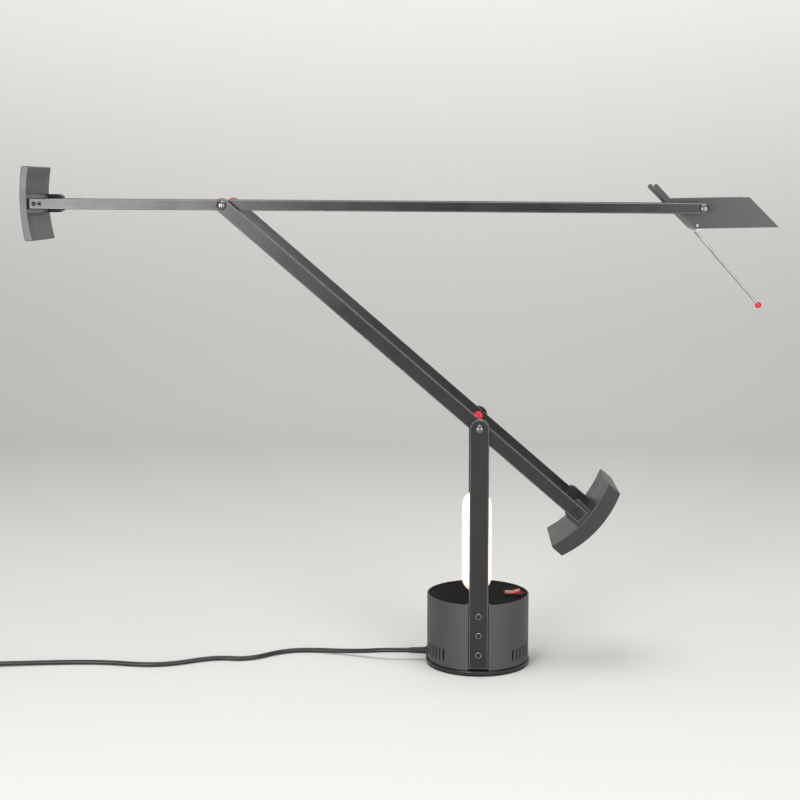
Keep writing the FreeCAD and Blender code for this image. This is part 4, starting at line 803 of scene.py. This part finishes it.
@dataclass
class Arms:
    """Stem, lower arm and upper arm with their pivots and counterweights."""

    lower_face_mm: float = 47.4
    upper_face_mm: float = 39.5
    pin_socket_mm: float = 3.0
    screw_socket_mm: float = 2.6
    shade_ring_radius_mm: float = 2.3

    def build(self) -> None:
        """Dress the bars, weights, pins and caps."""
        finish_nodes(ARM_PAINT, "stem_bar_front", "stem_bar_back", "lower_bar_front",
                     "lower_bar_back", "upper_bar_front", "upper_bar_back")
        finish_nodes(WEIGHT_PAINT, "large_counterweight", "small_counterweight")
        finish_nodes(BLACK_NYLON, "large_holders", "small_holders")
        finish_nodes(DARK_NICKEL, "stem_pivot_pins", "elbow_pins", "head_pivot_pins")
        finish_nodes(BLACK_OXIDE, "elbow_nuts", "large_weight_screws", "small_weight_screws",
                     "large_weight_pins", "small_weight_pins")
        finish_nodes(BRIGHT_STEEL, "stem_pivot_washers")
        for node, body, depth_mm in (("stem_pivot_pins", "base", 1.3),
                                     ("elbow_pins", "lower_arm", 1.4),
                                     ("head_pivot_pins", "upper_arm", 1.3)):
            socket_floors(node, body, self.pin_socket_mm, depth_mm)
        weights = (("large", "lower_arm", self.lower_face_mm),
                   ("small", "upper_arm", self.upper_face_mm))
        for size, body, _ in weights:
            socket_floors(size + "_weight_screws", body, self.screw_socket_mm, FLUSH_DEPTH_MM)
        # Painted shade rings round the weights' pins.
        for size, body, face_mm in weights:
            pin_shade_rings(size + "_weight_pins", body, self.shade_ring_radius_mm, face_mm)
        finish_nodes(RED_NYLON, "stem_pivot_caps", "elbow_spacers")


@dataclass
class Head:
    """Shade, reflector, bulb and the wire handle."""

    tilt_deg: float = -1.0
    bulb_height_mm: float = -4.0
    filament_mm: tuple[float, float] = (8.0, 22.0)
    filament_radius_mm: float = 0.9
    filament_turns: int = 11
    wire_radius_mm: float = 0.14
    lead_back_mm: float = 11.0
    near_lead_mm: float = -1.2
    far_lead_mm: float = 2.8

    def filament(self) -> None:
        """Wind the bulb's filament between its two leads."""
        pivot = Vector(next(joint["pos_m"] for joint in frame["record"]["behaviour"]["joints"]
                            if joint["name"] == "head_tilt"))
        place = (Matrix.Translation(pivot)
                 @ Matrix.Rotation(math.radians(self.tilt_deg), 4, "Y"))
        start, end = self.filament_mm
        root = start - self.lead_back_mm
        points = [Vector((root, self.near_lead_mm, 0)),
                  Vector((start - 3.0, self.near_lead_mm, 0))]
        steps = 8
        for k in range(self.filament_turns * steps + 1):
            angle = math.tau * k / steps
            along = start + (end - start) * k / (self.filament_turns * steps)
            points.append(Vector((along, self.filament_radius_mm * math.cos(angle),
                                  self.filament_radius_mm * math.sin(angle))))
        points += [Vector((end + 1.5, self.far_lead_mm, 0)), Vector((root, self.far_lead_mm, 0))]
        curve = bpy.data.curves.new("filament", "CURVE")
        curve.dimensions = "3D"
        spline = curve.splines.new("NURBS")
        spline.points.add(len(points) - 1)
        for control, point in zip(spline.points, points):
            lifted = point + Vector((0, 0, self.bulb_height_mm))
            control.co = (*(place @ (lifted * MM)), 1.0)
        spline.order_u = 3
        spline.use_endpoint_u = True
        curve.bevel_depth = self.wire_radius_mm * MM
        piece = bpy.data.objects.new("filament", curve)
        bpy.context.scene.collection.objects.link(piece)
        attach(dress(piece, TUNGSTEN), "head")
        log.info("wound the filament")

    def build(self) -> None:
        """Dress the shade and what it holds."""
        finish_nodes(SHADE_PAINT, "head_frame", "head_cover")
        finish_nodes(REFLECTOR_SHEET, "reflector")
        finish_nodes(CERAMIC, "lampholder")
        finish_nodes(QUARTZ, "halogen_bulb")
        finish_nodes(CLEAR, "front_glass")
        finish_nodes(BRIGHT_STEEL, "glass_clips", "handle_screws")
        finish_nodes(WIRE_STEEL, "handle_wire", "handle_clip")
        finish_nodes(BLACK_NYLON, "head_spacers")
        finish_nodes(RED_NYLON, "handle_ball")
        self.filament()


# ---------------------------------------------------------------- studio

@dataclass
class Studio:
    """Pale floor and backdrop, soft lamps and the camera at the photograph's angle."""

    camera_mm: Point = (-27.13, -1614.05, 507.11)
    yaw: float = -0.0349
    pitch: float = 0.1368
    roll: float = -0.0014
    focal_mm: float = 69.28
    floor_colour: str = "#e4e2de"
    half_width: float = 4.0
    front: float = -3.2
    back: float = 2.6
    height: float = 3.4
    cove_radius: float = 1.2
    cove_steps: int = 24
    world_light: float = 0.34
    world_seen: float = 0.9

    def build(self) -> None:
        """Set the stage."""
        self.backdrop()
        self.world()
        self.lamp("key_softbox", (-0.98, -1.9, 0.56), (-0.38, 0.0, 0.44), 0.86, 0.8, 29.0)
        self.lamp("fill_softbox", (1.06, -1.8, 0.6), (0.3, 0.0, 0.4), 0.95, 1.0, 22.0)
        self.lamp("top_softbox", (0.0, -0.2, 2.1), (-0.05, 0.0, 0.2), 1.9, 1.2, 27.0)

    def backdrop(self) -> None:
        """Build the floor that curves up into a back wall."""
        mesh = bmesh.new()
        line = [(self.front, 0.0), (self.back - self.cove_radius, 0.0)]
        for k in range(1, self.cove_steps + 1):
            angle = math.pi / 2 * k / self.cove_steps
            line.append((self.back - self.cove_radius + self.cove_radius * math.sin(angle),
                         self.cove_radius * (1 - math.cos(angle))))
        line.append((self.back, self.height))
        rows = [[mesh.verts.new((x, y, z)) for y, z in line]
                for x in (-self.half_width, self.half_width)]
        for k in range(len(line) - 1):
            mesh.faces.new((rows[0][k], rows[1][k], rows[1][k + 1], rows[0][k + 1]))
        stage = mesh_piece("studio_backdrop", mesh)
        dress(stage, BackdropPaper("pale_paper_backdrop", self.floor_colour, 0.9))

    def world(self) -> None:
        """Surround the stage with an even pale light."""
        world = bpy.data.worlds.new("studio_world")
        bpy.context.scene.world = world
        world.use_nodes = True
        tree = world.node_tree
        sky = tree.nodes["Background"]
        path = add_node(tree, "ShaderNodeLightPath")
        seen = add_node(tree, "ShaderNodeMath", {
            0: path.outputs["Is Camera Ray"], 1: path.outputs["Is Transmission Ray"]},
            operation="MAXIMUM")
        level = add_node(tree, "ShaderNodeMapRange", {
            "Value": seen.outputs["Value"], "To Min": self.world_light, "To Max": self.world_seen})
        sky.inputs["Color"].default_value = linear("#f2f3f5")
        tree.links.new(level.outputs["Result"], sky.inputs["Strength"])

    def lamp(self, name: str, at: Point, target: Point, width: float, height: float,
             power: float) -> None:
        """Hang one rectangular soft lamp.

        Args:
            name: the lamp's name.
            at: its place in metres.
            target: the point that it faces.
            width: its width in metres.
            height: its height in metres.
            power: its power in watts.
        """
        light = bpy.data.lights.new(name, "AREA")
        light.shape = "RECTANGLE"
        light.size = width
        light.size_y = height
        light.energy = power
        holder = bpy.data.objects.new(name, light)
        holder.location = at
        holder.rotation_euler = (Vector(target) - Vector(at)).to_track_quat("-Z", "Y").to_euler()
        bpy.context.scene.collection.objects.link(holder)

    def camera(self) -> None:
        """Place the camera where the photograph was taken from."""
        ahead = Vector((math.sin(self.yaw) * math.cos(self.pitch),
                        math.cos(self.yaw) * math.cos(self.pitch), -math.sin(self.pitch)))
        level = Vector((math.cos(self.yaw), -math.sin(self.yaw), 0))
        upright = level.cross(ahead)
        right = level * math.cos(self.roll) + upright * math.sin(self.roll)
        up = upright * math.cos(self.roll) - level * math.sin(self.roll)
        turn = Matrix((right, up, -ahead)).transposed().to_4x4()
        data = bpy.data.cameras.new("photo_camera")
        data.lens = self.focal_mm
        data.sensor_width = 36.0
        camera = bpy.data.objects.new("photo_camera", data)
        camera.matrix_world = Matrix.Translation(Vector(self.camera_mm) * MM) @ turn
        bpy.context.scene.collection.objects.link(camera)
        bpy.context.scene.camera = camera


def main() -> None:
    """Build and dress the lamp piece by piece, then set the studio."""
    logging.basicConfig(level=logging.INFO, format="%(name)s: %(message)s")
    bpy.context.scene.view_settings.view_transform = "Standard"
    studio = Studio()
    studio.camera()
    for assembly in (MainsLead(), Base(), Arms(), Head()):
        assembly.build()
    studio.build()


if __name__ == "__main__":
    main()
